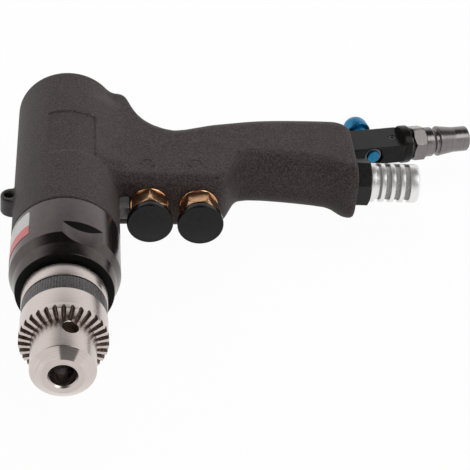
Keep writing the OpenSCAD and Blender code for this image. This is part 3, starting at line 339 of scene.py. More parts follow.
def shade_flats(obj, angle):
    """Smooth shading that keeps the large faces of a piece flat."""
    shade(obj, angle)
    for face in obj.data.polygons:
        if face.area > LARGE_FACE * MM ** 2:
            face.use_smooth = False
    return obj


def dress(obj, material, body, slot, *nodes):
    """Gives a piece its material, ties it to its body and hides the nodes it stands for; its slot is not
    used.
    """
    obj.data.materials.clear()
    obj.data.materials.append(material)
    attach(obj, body)
    if nodes:
        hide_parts(*nodes)
    return obj


def second_look(obj, material, chosen):
    """Gives another material to the faces of a piece whose middle and normal are chosen."""
    obj.data.materials.append(material)
    index = len(obj.data.materials) - 1
    for face in obj.data.polygons:
        if chosen(face.center / MM, face.normal):
            face.material_index = index


# Materials

def surface(name, low, high, grain, rough, metallic=0.0, stretch=(1, 1, 1), spread=(0.3, 0.7),
            bump=0.0, bump_grain=1.0, bump_stretch=(1, 1, 1), specular=0.5, turn=0.0, cloud=None):
    """A procedural surface: two colours and two roughnesses mixed by grain, with relief of its own.

    grain and bump_grain are sizes in millimetres, bump is a depth in millimetres, and cloud is a wider
    second variation given as its size and its strength.
    """
    fine_detail, wide_detail, octave_share = 3.0, 2.0, 0.55
    material = bpy.data.materials.new(name)
    material.use_nodes = True
    tree = material.node_tree
    make, link = tree.nodes.new, tree.links.new
    shader = tree.nodes["Principled BSDF"]
    place = make("ShaderNodeTexCoord").outputs["Object"]

    def noise(size, scale, detail):
        mapping = make("ShaderNodeMapping")
        mapping.inputs["Rotation"].default_value = (0, 0, math.radians(turn))
        mapping.inputs["Scale"].default_value = [s / (size * MM) for s in scale]
        link(place, mapping.inputs["Vector"])
        texture = make("ShaderNodeTexNoise")
        texture.inputs["Scale"].default_value = 1.0
        texture.inputs["Detail"].default_value = detail
        texture.inputs["Roughness"].default_value = octave_share
        link(mapping.outputs["Vector"], texture.inputs["Vector"])
        return texture.outputs["Fac"]

    fine = noise(grain, stretch, fine_detail)
    limits = make("ShaderNodeMapRange")
    limits.inputs["From Min"].default_value, limits.inputs["From Max"].default_value = spread
    link(fine, limits.inputs["Value"])
    share = limits.outputs["Result"]
    if cloud:
        wide = noise(cloud[0], (1, 1, 1), wide_detail)
        blend = make("ShaderNodeMix")
        blend.inputs["Factor"].default_value = cloud[1]
        link(share, blend.inputs["A"])
        link(wide, blend.inputs["B"])
        share = blend.outputs["Result"]
    colour = make("ShaderNodeMix")
    colour.data_type = "RGBA"
    colour.inputs["A"].default_value = (*low, 1)
    colour.inputs["B"].default_value = (*high, 1)
    link(share, colour.inputs["Factor"])
    link(colour.outputs["Result"], shader.inputs["Base Color"])
    gloss = make("ShaderNodeMapRange")
    gloss.inputs["To Min"].default_value, gloss.inputs["To Max"].default_value = rough
    link(share, gloss.inputs["Value"])
    link(gloss.outputs["Result"], shader.inputs["Roughness"])
    shader.inputs["Metallic"].default_value = metallic
    shader.inputs["Specular IOR Level"].default_value = specular
    if bump:
        relief = make("ShaderNodeBump")
        relief.inputs["Strength"].default_value = 1.0
        relief.inputs["Distance"].default_value = bump * MM
        link(noise(bump_grain, bump_stretch, wide_detail), relief.inputs["Height"])
        link(relief.outputs["Normal"], shader.inputs["Normal"])
    return material


def shades(colour, spread):
    """A darker and a lighter version of one colour."""
    return [c * (1 - spread) for c in colour], [c * (1 + spread) for c in colour]


# Stretch of the fine marks that turning leaves round the spindle, the muffler and the nipple
SPIN = (0.03, 1, 0.03)
ALONG_X = (1, 0.03, 0.03)
ALONG_INLET = (1, 0.05, 0.05)

paint = surface("housing_paint", (0.010, 0.0076, 0.0074), (0.093, 0.072, 0.070), 0.75, (0.54, 0.70),
                spread=(0.36, 0.64), bump=0.24, bump_grain=0.8, specular=0.27, cloud=(9, 0.22))
case_black = surface("case_black_oxide", (0.070, 0.059, 0.057), (0.108, 0.092, 0.089), 3.0,
                     (0.18, 0.28), 1.0, bump=0.005, bump_grain=0.6, cloud=(14, 0.5))
# Near-black painted shade for the front of the gear case and the shoulders of its spanner flats
case_painted_shade = surface("case_front_painted_shade", (0.002, 0.0018, 0.0017), (0.006, 0.0055, 0.005), 2.0, (0.5, 0.65),
                    bump=0.01, bump_grain=0.6, specular=0.12)
satin_black = surface("ear_satin_black", (0.012, 0.0105, 0.010), (0.028, 0.025, 0.024), 2.0, (0.3, 0.4),
                      bump=0.01, bump_grain=0.5, specular=0.45)
web_satin = surface("web_satin", (0.14, 0.135, 0.13), (0.24, 0.23, 0.22), 2.0, (0.3, 0.4),
                    bump=0.01, bump_grain=0.5)
rubber = surface("seal_rubber", (0.010, 0.010, 0.010), (0.020, 0.020, 0.020), 0.8, (0.6, 0.75),
                 bump=0.02, bump_grain=0.5)
ground_steel = surface("ground_steel", *shades((0.55, 0.55, 0.57), 0.12), 0.25, (0.22, 0.36), 1.0, SPIN)
dark_steel = surface("blackened_steel", *shades((0.13, 0.13, 0.135), 0.3), 0.8, (0.32, 0.48), 1.0,
                     bump=0.01, bump_grain=0.6)
gear_steel = surface("gear_steel", *shades((0.36, 0.36, 0.38), 0.15), 0.3, (0.26, 0.4), 1.0, SPIN)
spring_wire = surface("spring_wire", *shades((0.45, 0.45, 0.47), 0.15), 0.4, (0.24, 0.36), 1.0)
copper = surface("polished_copper", (0.60, 0.32, 0.16), (0.90, 0.55, 0.33), 1.6, (0.18, 0.28), 1.0,
                 bump=0.012, bump_grain=0.8, cloud=(5, 0.4))
gloss_black = surface("inlet_gloss_black", (0.005, 0.0041, 0.0039), (0.012, 0.0100, 0.0095), 4.0,
                      (0.18, 0.26), bump=0.003, bump_grain=1.2, specular=0.17)
burnished = surface("nipple_burnished", (0.180, 0.165, 0.161), (0.240, 0.223, 0.218), 1.2,
                    (0.2, 0.28), 1.0, ALONG_INLET, bump=0.003, bump_grain=0.6,
                    bump_stretch=ALONG_INLET, turn=-INLET_TILT)
adapter_black = surface("adapter_black", (0.002, 0.0019, 0.0018), (0.007, 0.0065, 0.006), 2.5, (0.2, 0.32),
                        bump=0.008, bump_grain=0.8, specular=0.3)
aluminium = surface("turned_aluminium", *shades((0.88, 0.862, 0.85), 0.07), 0.4, (0.34, 0.46), 0.85,
                    ALONG_X, bump=0.006, bump_grain=0.4, bump_stretch=ALONG_X)
felt = surface("grey_felt", (0.36, 0.35, 0.34), (0.60, 0.585, 0.57), 0.35, (0.85, 0.95),
               bump=0.25, bump_grain=0.3, specular=0.2)
nickel = surface("satin_nickel", *shades((0.60, 0.528, 0.500), 0.10), 0.28, (0.22, 0.34), 1.0, SPIN,
                 bump=0.006, bump_grain=0.22, bump_stretch=SPIN, cloud=(12, 0.35))
nose_ground = surface("nose_ground_nickel", *shades((0.62, 0.548, 0.520), 0.08), 0.3, (0.09, 0.15), 1.0,
                      SPIN, bump=0.003, bump_grain=0.25, bump_stretch=SPIN)
band_dark = surface("knurl_dark", (0.050, 0.046, 0.048), (0.17, 0.158, 0.162), 0.9, (0.3, 0.46), 1.0,
                    bump=0.03, bump_grain=0.7)
# Dark brown for the gaps between the sleeve's teeth, also used as painted shade inside the chuck's key
# holes
gap_dark_and_key_shade = surface("gap_brown_and_key_shade", (0.040, 0.028, 0.021), (0.27, 0.20, 0.155), 0.6, (0.3, 0.5), 0.7)
jaw_steel = surface("jaw_steel", *shades((0.28, 0.28, 0.29), 0.2), 0.5, (0.28, 0.42), 1.0)
fibre = surface("vane_fibre", (0.12, 0.07, 0.04), (0.26, 0.16, 0.09), 0.5, (0.6, 0.8))
button_satin = surface("button_satin", (0.003, 0.0027, 0.0026), (0.009, 0.008, 0.0077), 2.5, (0.18, 0.26),
                       bump=0.003, bump_grain=0.6, specular=0.24)
stem_steel = surface("stem_steel", *shades((0.42, 0.42, 0.43), 0.12), 0.3, (0.22, 0.34), 1.0, SPIN)
anodised_blue = surface("regulator_blue", (0.008, 0.115, 0.25), (0.026, 0.26, 0.48), 0.7,
                        (0.24, 0.36), 0.75)
label_white = surface("label_white", (0.56, 0.545, 0.535), (0.70, 0.69, 0.68), 1.6, (0.38, 0.5),
                      bump=0.01, bump_grain=0.6, cloud=(6, 0.4))
label_red = surface("label_red", (0.60, 0.125, 0.135), (0.78, 0.20, 0.21), 1.2, (0.38, 0.5))

SLOT_LOOKS = {
    "housing_paint": paint, "case_black": case_black, "rubber_black": rubber,
    "bearing_steel": ground_steel, "dark_steel": dark_steel, "gear_steel": gear_steel,
    "bushing_copper": copper, "spring_steel": spring_wire, "inlet_black": gloss_black,
    "nipple_dark": burnished, "adapter_black": adapter_black, "muffler_aluminium": aluminium,
    "felt_grey": felt, "chuck_nickel": nickel, "sleeve_nickel": nickel, "jaw_steel": jaw_steel,
    "vane_fibre": fibre, "button_black": button_satin, "stem_steel": stem_steel,
    "regulator_blue": anodised_blue,
}
for part in frame["record"]["subparts"]:
    node = frame["nodes"][part["node"]]
    node.data.materials.clear()
    node.data.materials.append(SLOT_LOOKS[part["material_slot"]])


# Housing: one continuous casting, found as the zero surface of a distance field

# Rows along the handle: place, front, back, half thickness and the corner radii at front and back, all as
# shares of the handle's length, depth or half thickness
GRIP_SHARES = np.array([
    (0.059, 0, 1.24, 1.02, 0.35, 0.4), (0.15, 0, 1.24, 1.02, 0.35, 0.4),
    (0.181, 0, 1.236, 1.02, 0.35, 0.42), (0.199, 0, 1.213, 1.02, 0.35, 0.45),
    (0.21, 0, 1.156, 1.01, 0.35, 0.5), (0.222, 0, 1.074, 1, 0.35, 0.56),
    (0.241, 0, 0.984, 0.99, 0.35, 0.62), (0.267, 0, 0.908, 0.98, 0.35, 0.67),
    (0.296, 0, 0.853, 0.98, 0.35, 0.7), (0.333, 0, 0.808, 0.98, 0.35, 0.72),
    (0.37, 0, 0.788, 0.98, 0.35, 0.74), (0.407, 0, 0.806, 0.98, 0.35, 0.75),
    (0.452, 0, 0.845, 0.98, 0.36, 0.76), (0.5, 0, 0.885, 0.98, 0.4, 0.76),
    (0.525, 0.014, 0.9, 0.98, 0.46, 0.76), (0.544, 0.064, 0.911, 0.98, 0.54, 0.77),
    (0.563, 0.156, 0.921, 0.98, 0.62, 0.77), (0.578, 0.232, 0.929, 0.98, 0.68, 0.77),
    (0.593, 0.268, 0.937, 0.98, 0.72, 0.77), (0.63, 0.282, 0.956, 0.98, 0.76, 0.77),
    (0.681, 0.282, 0.976, 0.98, 0.77, 0.77), (0.741, 0.272, 0.99, 0.98, 0.77, 0.77),
    (0.8, 0.258, 0.998, 0.98, 0.77, 0.77), (0.859, 0.241, 1.002, 0.985, 0.77, 0.77),
    (0.904, 0.223, 1.002, 0.99, 0.77, 0.77), (0.926, 0.2, 0.998, 0.995, 0.76, 0.76),
    (0.944, 0.157, 0.991, 1.01, 0.74, 0.75), (0.963, 0.122, 0.974, 1.025, 0.72, 0.74),
    (0.985, 0.111, 0.935, 1.03, 0.7, 0.72), (0.996, 0.116, 0.9, 1.01, 0.68, 0.7),
    (1, 0.126, 0.875, 0.98, 0.66, 0.68)])
STATION_STEP = 0.25
STATION_SIGMA = 0.8
GRIP_START = 8.0
GRIP_END_ROUND = 1.2
SLOPE_FADE = 8.0


def grip_stations():
    """Front, back, half thickness and corner radii of the handle on a fine smoothed row of stations."""
    x = np.arange(GRIP_START, HANDLE_L + STATION_STEP, STATION_STEP)
    scale = np.array([HANDLE_D, HANDLE_D, HANDLE_T / 2, HANDLE_T / 2, HANDLE_T / 2])
    shift = np.array([BOSS_Y, BOSS_Y, 0, 0, 0])
    reach = int(4 * STATION_SIGMA / STATION_STEP)
    weight = np.exp(-0.5 * (np.arange(-reach, reach + 1) * STATION_STEP / STATION_SIGMA) ** 2)
    weight /= weight.sum()
    rows = []
    for column in range(5):
        value = np.interp(x / HANDLE_L, GRIP_SHARES[:, 0], GRIP_SHARES[:, column + 1])
        value = np.convolve(np.pad(value, reach, mode="edge"), weight, mode="valid")
        rows.append(value * scale[column] + shift[column])
    return x, rows


STATION_X, (STATION_FRONT, STATION_BACK, STATION_HALF, STATION_FR, STATION_BR) = grip_stations()
SLOPE_FRONT = np.gradient(STATION_FRONT, STATION_X)
SLOPE_BACK = np.gradient(STATION_BACK, STATION_X)


def soft_join(a, b, k):
    """The union of two fields with a fillet."""
    h = np.clip(0.5 + 0.5 * (b - a) / k, 0, 1)
    return b + (a - b) * h - k * h * (1 - h)


def soft_cut(a, b, k):
    """The first field with the second taken away, with its rim rounded."""
    return -soft_join(-a, b, k)


def rounded_corner(p, q, r):
    """Distance to a quadrant p < 0, q < 0 with its corner rounded."""
    p, q = p + r, q + r
    return np.minimum(np.maximum(p, q), 0) + np.hypot(np.maximum(p, 0), np.maximum(q, 0)) - r


def grip_field(x, y, z):
    """Distance to the handle."""
    front, back = np.interp(x, STATION_X, STATION_FRONT), np.interp(x, STATION_X, STATION_BACK)
    half = np.interp(x, STATION_X, STATION_HALF)
    middle, reach = (front + back) / 2, (back - front) / 2
    ahead = y < middle
    radius = np.where(ahead, np.interp(x, STATION_X, STATION_FR), np.interp(x, STATION_X, STATION_BR))
    slope = np.where(ahead, np.interp(x, STATION_X, SLOPE_FRONT), np.interp(x, STATION_X, SLOPE_BACK))
    side = np.abs(y - middle) - reach
    steep = np.sqrt(1 + (slope * np.clip(1 + side / SLOPE_FADE, 0, 1)) ** 2)
    flat = rounded_corner(side, np.abs(z) - half, radius) / steep
    return np.maximum(soft_cut(flat, HANDLE_L - x, GRIP_END_ROUND), GRIP_START - x)


def ramp(value, low, high):
    """A smooth step from 0 to 1."""
    t = np.clip((value - low) / (high - low), 0, 1)
    return t * t * (3 - 2 * t)


# The bare plate on the barrel: its middle and half width in degrees, its middle and half length along the
# spindle, and its depth
PLATE_TURN, PLATE_HALF, PLATE_Y, PLATE_REACH, PLATE_DEEP = 4.0, 27.0, 143.4, 16.5, 0.5

# Radius and rear end of the bores behind the lip of the gear case and of the two bores of each valve
MOTOR_BORE, BEARING_BORE = (20.5, 169.9), (14.0, 183.7)
VALVE_BORES = ((BUSHING_R, 138.0), (5.6, SPRING_END))
EXHAUST_L = 60.0
# A distance at which a cut has no effect
FAR_OFF = 20.0

# Rounding of the barrel's ends and of the ear, and of the rims of the ear, the plate and the eye
BACK_ROUND, FRONT_ROUND, EAR_ROUND = 4.0, 0.9, 0.9
EAR_RIM, PLATE_RIM, EYE_RIM = 1.2, 0.35, 0.7


def housing_field(points):
    """Distance to the housing, negative inside."""
    x, y, z = points[..., 0], points[..., 1], points[..., 2]
    r = np.hypot(x, z)
    barrel = np.maximum(rounded_corner(r - BARREL_R, y - BARREL_END, BACK_ROUND),
                        rounded_corner(r - BARREL_R, JOINT_Y - y, FRONT_ROUND))
    # The fillet between barrel and handle widens behind the buttons and runs out at the back
    fillet = 3.0 + 6.0 * ramp(y, 123, 132) - 6.5 * ramp(y, 176, 189)
    body = soft_join(barrel, grip_field(x, y, z), fillet)
    ear = rounded_corner(np.hypot(x - EAR_X, y - EAR_Y) - EAR_R, np.abs(z) - EAR_HALF, EAR_ROUND)
    body = soft_join(body, ear, EAR_RIM)
    body = np.maximum(body, y - BARREL_END)
    angle = np.degrees(np.arctan2(x, z))
    plate = np.maximum(np.maximum((np.abs(angle - PLATE_TURN) - PLATE_HALF) * BARREL_R * math.pi / 180,
                                  np.abs(y - PLATE_Y) - PLATE_REACH), BARREL_R - PLATE_DEEP - r)
    plate = np.where(z > 0, plate, FAR_OFF)
    body = soft_cut(body, plate, PLATE_RIM)
    body = soft_cut(body, np.hypot(x - EYE_X, y - EAR_Y) - EYE_R, EYE_RIM)
    hollow = np.maximum(r - LIP_R, y - LIP_END)
    for bore_r, bore_end in (MOTOR_BORE, BEARING_BORE):
        hollow = np.minimum(hollow, np.maximum(r - bore_r, y - bore_end))
    for valve_x in (FORWARD_X, REVERSE_X):
        valve = np.hypot(x - valve_x, z)
        for bore_r, bore_end in VALVE_BORES:
            hollow = np.minimum(hollow, np.maximum(valve - bore_r, y - bore_end))
    turn = math.radians(INLET_TILT)
    out = (x - HANDLE_L) * math.cos(turn) + (y - INLET_Y) * math.sin(turn)
    across = (y - INLET_Y) * math.cos(turn) - (x - HANDLE_L) * math.sin(turn)
    pocket = np.maximum(np.maximum(np.abs(across) - BLOCK_W / 2, np.abs(z) - BLOCK_T / 2), -BLOCK_IN - out)
    hollow = np.minimum(hollow, pocket)
    thread = np.maximum(np.hypot(y - MUFFLER_Y, z) - THREAD_R, HANDLE_L - THREAD_L - x)
    exhaust = np.maximum(np.hypot(y - MUFFLER_Y, z) - EXHAUST_R, HANDLE_L - EXHAUST_L - x)
    hollow = np.minimum(hollow, np.minimum(thread, exhaust))
    return np.maximum(body, -hollow)


def net_surface(field, low, high, step):
    """A quad mesh of the zero surface of a field, with every point moved onto it."""
    axes = [np.arange(a, b + step, step) for a, b in zip(low, high)]
    shape = tuple(len(a) for a in axes)
    value = np.empty(shape)
    for i, x in enumerate(axes[0]):
        plane = np.stack(np.meshgrid([x], axes[1], axes[2], indexing="ij"), -1)
        value[i] = field(plane)[0]
    inside = value < 0
    corners = [(i, j, k) for i in (0, 1) for j in (0, 1) for k in (0, 1)]
    count = sum(inside[i:shape[0] - 1 + i, j:shape[1] - 1 + j, k:shape[2] - 1 + k].astype(np.int8)
                for i, j, k in corners)
    cells = np.argwhere((count > 0) & (count < 8))
    number = np.full(count.shape, -1, np.int64)
    number[tuple(cells.T)] = np.arange(len(cells))
    total, crossings = np.zeros((len(cells), 3)), np.zeros(len(cells))
    for a in corners:
        for b in corners:
            if sum(abs(p - q) for p, q in zip(a, b)) != 1 or a > b:
                continue
            start, end = cells + a, cells + b
            va, vb = value[tuple(start.T)], value[tuple(end.T)]
            cross = (va < 0) != (vb < 0)
            t = np.where(cross, va / np.where(cross, va - vb, 1), 0)
            total += np.where(cross[:, None], start + (end - start) * t[:, None], 0)
            crossings += cross
    points = np.array(low) + total / crossings[:, None] * step
    faces = []
    for axis in range(3):
        others = [k for k in range(3) if k != axis]
        first = inside.take(range(shape[axis] - 1), axis)
        second = inside.take(range(1, shape[axis]), axis)
        for sign in (True, False):
            edges = np.argwhere((first == sign) & (second != sign))
            inner = [(edges[:, o] > 0) & (edges[:, o] < shape[o] - 1) for o in others]
            edges = edges[inner[0] & inner[1]]
            ring = []
            for du, dv in ((-1, -1), (0, -1), (0, 0), (-1, 0)):
                cell = edges.copy()
                cell[:, others[0]] += du
                cell[:, others[1]] += dv
                ring.append(number[tuple(cell.T)])
            quads = np.stack(ring, 1)
            outward = sign if axis != 1 else not sign
            faces.append(quads if outward else quads[:, ::-1])
    faces = np.concatenate(faces)
    small, passes, furthest, least_slope = 0.02, 4, 0.3, 0.25
    for _ in range(passes):
        distance = field(points)
        slope = np.stack([(field(points + d) - field(points - d)) / (2 * small)
                          for d in np.eye(3) * small], -1)
        size = np.maximum((slope ** 2).sum(-1), least_slope)
        move = np.clip(distance, -furthest, furthest) / size
        points = points - slope * move[:, None]
    return points, faces


def net_object(name, points, faces):
    """A mesh object from arrays of points and quads."""
    mesh = bpy.data.meshes.new(name)
    mesh.from_pydata((points * MM).tolist(), [], faces.tolist())
    mesh.validate()
    return linked(name, mesh)


SHELL_LOW, SHELL_HIGH, SHELL_STEP = (-31, 88.6, -25), (136.6, 198.4, 25), 0.7

shell = net_object("housing_shell", *net_surface(housing_field, SHELL_LOW, SHELL_HIGH, SHELL_STEP))
dress(shade(shell, 40), paint, HOUSING, "housing_paint", "housing")
second_look(shell, satin_black, lambda at, normal: at.x < EAR_X
            and math.hypot(at.x - EAR_X, at.y - EAR_Y) < EAR_R + 0.4)

web = slab("valve_web", (18, 112.5, -3.3), (28.4, 123, 3.3))
dress(shade(soften(web, 0.7, 3)), web_satin, HOUSING, "housing_paint")


def top_of(x, y):
    """Height of the housing's upper surface at a place, found by halving."""
    halvings = 40
    low, high = 0.0, BARREL_R + 2
    for _ in range(halvings):
        middle = (low + high) / 2
        inside = housing_field(np.array([[x, y, middle]]))[0] < 0
        low, high = (middle, high) if inside else (low, middle)
    return low


def raised_points(outline):
    """The points below and above the handle's surface over a flat outline of x and y."""
    sink, rise = 0.5, 0.22
    tops = [top_of(x, y) for x, y in outline]
    return [[(x, y, top + step) for (x, y), top in zip(outline, tops)] for step in (-sink, rise)]


def turn_arrow(x, y, way):
    """A curved arrow in low relief that shows a way of turning."""
    radius, width, head_half, head_l = 3.0, 0.42, 1.15, 1.9
    start, sweep, steps = 200, 230, 24

    def place(reach, angle, ahead=0.0):
        return (x + way * (reach * math.cos(angle) + ahead * math.sin(angle)),
                y + reach * math.sin(angle) - ahead * math.cos(angle))

    verts = []
    for k in range(steps + 1):
        angle = math.radians(start - sweep * k / steps)
        low, high = raised_points([place(radius - width, angle), place(radius + width, angle)])
        verts += low + high[::-1]
    faces = ring_quads(steps + 1, 4)[:-4] + [(0, 1, 2, 3), tuple(range(4 * steps, 4 * steps + 4))]
    low, high = raised_points([place(radius - head_half, angle), place(radius + head_half, angle),
                               place(radius, angle, head_l)])
    return mesh_object("arrow", verts + low + high, faces + wall_faces(3, len(verts)))


marks = merge("turning_marks", [turn_arrow(36.2, 133.4, 1), turn_arrow(58.6, 134.2, -1)])
dress(shade(marks), paint, HOUSING, "housing_paint")


# Gear case with its spanner flats and its bare label

case = lathe("gear_case_shell", [
    (12.0, CASE_FRONT), (21.1, CASE_FRONT, 0.5), (22.2, 59.5, 0.8), (BARREL_R, CASE_TAPER_END, 1.2),
    (BARREL_R, 88.9, 0.3), (23.2, JOINT_Y, 0.2), (LIP_R, JOINT_Y), (LIP_R, LIP_END), (20.0, LIP_END),
    (20.0, 66.2), (16.0, 66.2), (16.0, 56.0), (12.0, 56.0)], SPINDLE, FINE_SEGMENTS)
FLATS_TURN = 18.0


def flat_tool(turn):
    """The cut of one spanner flat with its sloping shoulder."""
    start, past = 50.0, 2.0
    slope = 1.8 / 3.5
    tool = slab("flat_tool", (FLAT_HALF, -BARREL_R, CASE_FRONT - 1), (40, BARREL_R, FLAT_END),
                along_spindle(0, 0, turn))
    kept = lathe("flat_keep", [(0, start), (BARREL_R - slope * (FLAT_END - start), start),
                               (BARREL_R + slope * past, FLAT_END + past), (0, FLAT_END + past)],
                 SPINDLE, FINE_SEGMENTS)
    return combine(tool, [kept])


def painted_shade_on_case(at, normal):
    """Whether a face is the front of the gear case or the sloping shoulder of a spanner flat, the faces
    that get painted shade.
    """
    sloping = -0.7 < normal.y < -0.3
    shoulder = at.y > CASE_TAPER_END and math.hypot(at.x, at.z) < BARREL_R - 0.1 and sloping
    return at.y < CASE_FRONT + 0.2 or shoulder


combine(case, [flat_tool(FLATS_TURN - 90), flat_tool(FLATS_TURN + 90)])
dress(shade(case, 24), case_black, HOUSING, "case_black", "gear_case")
# The front of the gear case and the shoulders of the spanner flats get near-black painted shade
second_look(case, case_painted_shade, painted_shade_on_case)

LABEL_FIRST, LABEL_LAST = -102.0, -41.5
LABEL_FRONT, LABEL_BAND_END, LABEL_END = 70.4, 76.6, 86.3


def label_sheet(name, thick, low, high, corner):
    """A thin sheet with rounded corners on the gear case, across the label's angles from the top."""
    columns, sink = 40, 0.05
    sweep = LABEL_LAST - LABEL_FIRST
    verts, faces = [], []
    for k in range(columns + 1):
        angle = LABEL_FIRST + sweep * k / columns
        near = min(k, columns - k) / columns * sweep * math.pi / 180 * BARREL_R
        inset = corner - math.sqrt(max(corner ** 2 - max(corner - near, 0) ** 2, 0))
        s, c = math.sin(math.radians(angle)), math.cos(math.radians(angle))
        for y in (low + inset, high - inset):
            for r in (BARREL_R - sink, BARREL_R + thick):
                verts.append((r * s, y, r * c))
    for k in range(columns):
        a, b = 4 * k, 4 * k + 4
        for i, j in ((0, 1), (1, 3), (3, 2), (2, 0)):
            faces.append((a + i, a + j, b + j, b + i))
    faces += [(0, 1, 3, 2), (4 * columns, 4 * columns + 2, 4 * columns + 3, 4 * columns + 1)]
    return mesh_object(name, verts, faces)


label = label_sheet("case_label", 0.10, LABEL_FRONT, LABEL_END, 0.8)
dress(shade(label), label_white, HOUSING, "case_black")
stripe = label_sheet("label_band", 0.14, LABEL_FRONT, LABEL_BAND_END, 0.4)
dress(shade(stripe), label_red, HOUSING, "case_black")


# Chuck

nose = lathe("chuck_nose", [
    (0, 30.0), (5.3, 30.0), (5.3, 14.6), (5.6, 14.6), (5.6, 0.8), (6.2, 0.0, 0.1),
    (NOSE_FRONT_R, 0.0, 0.25), (NOSE_R, NOSE_CONE_L, 0.45), (NOSE_R, 23.8), (9.6, 23.8), (11.5, 30.6),
    (16.3, 30.6), (16.3, 43.1), (18.2, 43.1, 0.35), (18.2, 50.6, 0.45), (4.76, 50.6), (4.76, 36.1),
    (2.6, 36.1), (2.6, 30.4), (0, 30.4)], SPINDLE, FINE_SEGMENTS)
JAWS = 3
JAW_TURN, JAW_LEAN, JAW_IN, JAW_BORE, JAW_BORE_L = -19.0, 17.0, 0.95, 3.16, 42.2
KEY_TURN = -79.0
TOOL_SEGMENTS = 48
channels, keys = [], []
for k in range(JAWS):
    turn = 360 / JAWS * k
    lean = Matrix.Translation((JAW_IN, 0, 0)) @ Matrix.Rotation(math.radians(JAW_LEAN), 4, "Y")
    channels.append(rod("jaw_tool", JAW_BORE, 0.0, JAW_BORE_L, along_spindle(0, 0, turn + JAW_TURN) @ lean,
                        TOOL_SEGMENTS))
    stand = Matrix.Translation((KEY_FLOOR, 0, 0)) @ Matrix.Rotation(math.radians(90), 4, "Y")
    keys.append(lathe("key_tool", [(0, 0), (3.5, 0), (3.5, 3.3), (3.8, 3.6), (3.8, 6), (0, 6)],
                      along_spindle(0, KEY_Y, turn + KEY_TURN) @ stand, TOOL_SEGMENTS))
combine(nose, channels + keys)
dress(shade(nose, 28), nickel, "spindle_body", "chuck_nickel", "chuck_body")
second_look(nose, nose_ground, lambda at, normal: 0.05 < at.y < NOSE_CONE_L - 0.05
            and math.hypot(at.x, at.z) > NOSE_FRONT_R - 0.1)
# Painted shade inside the key holes, in the same dark brown as the gaps between the teeth
second_look(nose, gap_dark_and_key_shade, lambda at, normal: abs(at.y - KEY_Y) < 3.9
            and KEY_FLOOR - 0.6 < math.hypot(at.x, at.z) < NOSE_R - 0.3)


def gap_tool(k):
    """The cut between two teeth of the sleeve, deeper at the rim."""
    floor, rise, phase = 0.9, 2.3, 0.89
    slope = math.atan2(rise, SLEEVE_R - NOSE_R)
    place = (along_spindle(0, SLEEVE_FRONT, (k + phase) * 360 / TEETH)
             @ Matrix.Translation((NOSE_R, 0, floor)) @ Matrix.Rotation(-slope, 4, "Y")
             @ Matrix.Rotation(math.radians(90), 4, "Z") @ Matrix.Rotation(math.radians(90), 4, "X"))
    outline = rounded([(-1.0, -4.2), (1.0, -4.2), (1.0, -1.3, 0.5), (0.3, 0, 0.3), (-0.3, 0, 0.3),
                       (-1.0, -1.3, 0.5)], 3)
    return prism("gap_tool", outline, -1.0, 7.0, place)


sleeve = lathe("chuck_sleeve_shell", [
    (13.56, SLEEVE_FRONT, 0.15), (SLEEVE_R, 20.5, 0.3), (SLEEVE_R, 24.2, 0.25), (18.2, 24.25),
    (18.2, 34.0, 0.2), (17.9, 34.05), (17.9, 34.5), (SLEEVE_BORE, 34.5), (SLEEVE_BORE, 24.2),
    (13.56, 24.2)], SPINDLE, 180)
gaps = merge("gap_tools", [gap_tool(k) for k in range(TEETH)])
for toothed in (sleeve, gaps):
    toothed.data.materials.append(nickel)
    toothed.data.materials.append(gap_dark_and_key_shade)
gaps.data.polygons.foreach_set("material_index", [1] * len(gaps.data.polygons))
combine(sleeve, [gaps])
shade(sleeve, 28)
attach(sleeve, "sleeve_body")


def knurled_band():
    """The rear of the sleeve, with a straight fine knurl pressed into it."""
    ridges, base, depth, plain_share, end_step = 90, 17.7, 0.25, 0.4, 0.2
    rows = [(34.3, 0.0), (34.7, 0.0), (35.3, 1.0), (42.0, 1.0), (42.5, 0.1), (42.7, 0.0)]
    ridge = (0.0, 0.7, 1.0, 0.7)
    front, back = rows[0][0], rows[-1][0]
    columns = ridges * len(ridge)
    verts = []
    for y, share in rows:
        for c in range(columns):
            a = 2 * math.pi * c / columns
            rise = ridge[c % len(ridge)]
            r = base + depth * (rise * share + plain_share * (1 - share)) - end_step * (y == back)
            verts.append((r * math.cos(a), r * math.sin(a), y))
    for y in (back, front):
        for c in range(columns):
            a = 2 * math.pi * c / columns
            verts.append((SLEEVE_BORE * math.cos(a), SLEEVE_BORE * math.sin(a), y))
    return mesh_object("chuck_knurl", verts, ring_quads(len(rows) + 2, columns), SPINDLE)


dress(shade(knurled_band(), 50), band_dark, "sleeve_body", "sleeve_nickel")
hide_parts("chuck_sleeve")


# Valve bushings and buttons

def bushing(name, x, turn, node):
    """A copper bushing with a turned hexagon and a collar that seats on the handle."""
    flats, length = 16.2, 8.0
    hexagon = nut(name, flats, length, STEM_BORE, along_spindle(x, BUSHING_FRONT), turn)
    collar = lathe("collar", [(STEM_BORE, 7.9), (8.5, 7.9), (8.8, 8.2, 0.2), (8.8, 9.0), (BUSHING_R, 9.0),
                              (BUSHING_R, 25.9), (STEM_BORE, 25.9)], along_spindle(x, BUSHING_FRONT))
    combine(hexagon, [collar], "UNION")
    dress(shade(hexagon, 22), copper, HOUSING, "bushing_copper", node)


bushing("forward_bushing_hex", FORWARD_X, 28.0, "forward_bushing")
bushing("reverse_bushing_hex", REVERSE_X, 53.0, "reverse_bushing")


